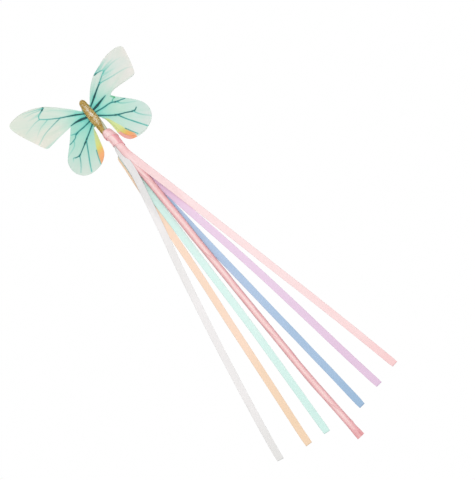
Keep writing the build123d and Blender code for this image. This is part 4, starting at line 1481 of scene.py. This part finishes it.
# up the left crease, over the head (right of the axis, up it), down the right crease
CENTRE_LEFT = (-16.6, -13.0, -9.0, -5.0, 0.0)
CENTRE_HEAD = ((-2.6, -4.0), (0.0, -3.0), (2.6, -4.0))
CENTRE_RIGHT = (0.0, -3.0, -6.0, -9.0, -12.0, -13.6)
# x, y round the tail, from the right crease to the left
CENTRE_TAIL = [(3.75, 333.55), (2.95, 334.6), (2.62, 334.9), (2.6, 333.5), (2.42, 330),
               (2.15, 327), (1.9, 324.2), (1.6, 320.6), (-3.2, 320.4), (-3.5, 323),
               (-3.7, 326), (-3.8, 329), (-4, 331), (-4.9, 330.9), (-5.5, 330.7)]
# height and x of the olive line down the tail's right edge
TAIL_EDGE = ([320.6, 324.2, 327.0, 330.0, 333.5, 335.0], [1.6, 1.9, 2.15, 2.42, 2.6, 2.62])


def centre_outline():
    points = [crease_point(-1, up, -0.10) for up in CENTRE_LEFT]
    points += [HEAD + SIDE * out + AXIS * up for out, up in CENTRE_HEAD]
    points += [crease_point(1, up, -0.10) for up in CENTRE_RIGHT]
    points += [np.array(point) for point in CENTRE_TAIL]
    dense = []
    for start, end in zip(points, points[1:] + points[:1]):
        count = max(int(np.linalg.norm(end - start) / 0.4), 1)
        dense += [start + (end - start) * k / count for k in range(count)]
    return np.array(dense)


def centre_print(x, y):
    """Both wings' prints meeting on the axis, and a pale tail with an olive outline."""
    left, left_relief = wing_print(x, y, -1)
    right, right_relief = wing_print(x, y, 1)
    to_right = ease(((np.stack([x, y], -1) - HEAD) @ SIDE + 0.6) / 1.2)
    colour = lerp(left, right, to_right[:, None])
    relief = lerp(left_relief, right_relief, to_right)
    tail = ease((-up_axis(x, y) - 17.5) / 2.0) * ease((x + 3.8) / 0.8) * ease((3.1 - x) / 0.5)
    line = ease((x - (np.interp(y, *TAIL_EDGE) - 0.55)) / 0.3) * tail
    colour = lerp(colour, linear((216, 222, 200)), tail[:, None])
    colour = lerp(colour, linear((150, 146, 92)), 0.75 * line[:, None])
    return colour, relief * (1 - tail)


def build_centre():
    """The strips of both sheets under the body, rising to the tie at the tail."""
    for word, drop in (("upper", 0.0), ("under", UNDER_DROP)):
        name = "centre_" + word
        ob = sheet_mesh(name + "_sheet", centre_outline(),
                        lambda x, y: SHEET_Z - drop + ease((-up_axis(x, y) - 24.0) / 9.0) * 1.1,
                        centre_print)
        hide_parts(name)
        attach(ob, "wand")


# ------------------------------------------------------------------ floor, world, light, camera


def floor_material():
    """A lit sweep: what the lens sees of it is an even near-white."""
    shader = new_shader("pale_floor")
    cloud = shader.noise(scale=60.0, detail=2.0, vector=shader.object_space())
    colour = shader.ramp(cloud, [(0.3, (0.93, 0.93, 0.93)), (0.7, (0.95, 0.95, 0.95))])
    surface = shader.principled(colour, 0.9, {
        "Specular IOR Level": 0.1,
        "Emission Color": colour,
        "Emission Strength": 0.50,
    })
    seen = shader.ramp(cloud, [(0.3, (0.998, 0.998, 0.998)), (0.7, (1.0, 1.0, 1.0))])
    even = shader.node("Emission", {"Color": seen, "Strength": 1.0}).outputs[0]
    material = shader.finish(shader.split_for_lens(surface, even))
    # found by bounce rays alone, which is quieter for a floor this wide
    material.cycles.emission_sampling = "NONE"
    return material


def build_floor():
    grid = bmesh.new()
    bmesh.ops.create_grid(grid, x_segments=8, y_segments=8, size=3.0)
    mesh = bpy.data.meshes.new("floor")
    grid.to_mesh(mesh)
    grid.free()
    floor = bpy.data.objects.new("floor", mesh)
    bpy.context.scene.collection.objects.link(floor)
    floor.location = (0.0, 0.186, FLOOR_Z * MM)
    give(floor, floor_material())


def build_world():
    """Soft white light; past the floor's edge the lens sees the floor's near-white."""
    world = bpy.data.worlds.new("soft_world")
    bpy.context.scene.world = world
    shader = Shader(world, "OutputWorld")
    soft, seen = (
        shader.node("Background", {"Color": (1.0, 1.0, 1.0), "Strength": strength}).outputs[0]
        for strength in (0.41, 1.0))
    shader.finish(shader.split_for_lens(soft, seen))


def area(name, place, target, size, watts, colour=(1, 1, 1)):
    light = bpy.data.lights.new(name, "AREA")
    light.shape = "DISK"
    light.size = size
    light.energy = watts
    light.color = colour
    ob = bpy.data.objects.new(name, light)
    bpy.context.scene.collection.objects.link(ob)
    ob.location = place
    aim = Vector(target) - Vector(place)
    ob.rotation_euler = aim.to_track_quat("-Z", "Y").to_euler()
    return ob


def build_lights():
    middle = (0.0, 0.19, 0.0)
    area("key", (0.5, 0.45, 1.35), middle, size=1.3, watts=4.3, colour=(1.0, 0.995, 0.985))
    area("fill", (-0.5, -0.1, 1.3), middle, size=1.2, watts=2.0, colour=(0.985, 0.99, 1.0))
    # a wide frontal panel round the lens; it evens out the shade and leaves no glare
    panel = area("panel", (0.025, 0.186, 1.35), (0.025, 0.186, 0.0), size=0.7, watts=10.4)
    panel.visible_glossy = False


def build_camera():
    """Looks straight down, with the wand slanting across the frame."""
    data = bpy.data.cameras.new("camera")
    data.lens = 100.0
    data.sensor_width = 36.0
    data.clip_start, data.clip_end = 0.01, 20.0
    camera = bpy.data.objects.new("camera", data)
    scene = bpy.context.scene
    scene.collection.objects.link(camera)
    camera.location = (0.02508, 0.1861, 1.080)
    camera.rotation_euler = (0.0, 0.0, math.radians(-39.81))
    scene.camera = camera
    scene.view_settings.view_transform = "Standard"
    scene.view_settings.look = "None"


# ------------------------------------------------------------------ assemble

build_wrap()
build_binding()
build_neck_glue()
build_body_core()
build_flakes()
build_ribbons()
build_wings()
build_centre()
give(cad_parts["dowel"], WOOD)
give(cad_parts["body_glue"], GLUE)
build_floor()
build_world()
build_lights()
build_camera()
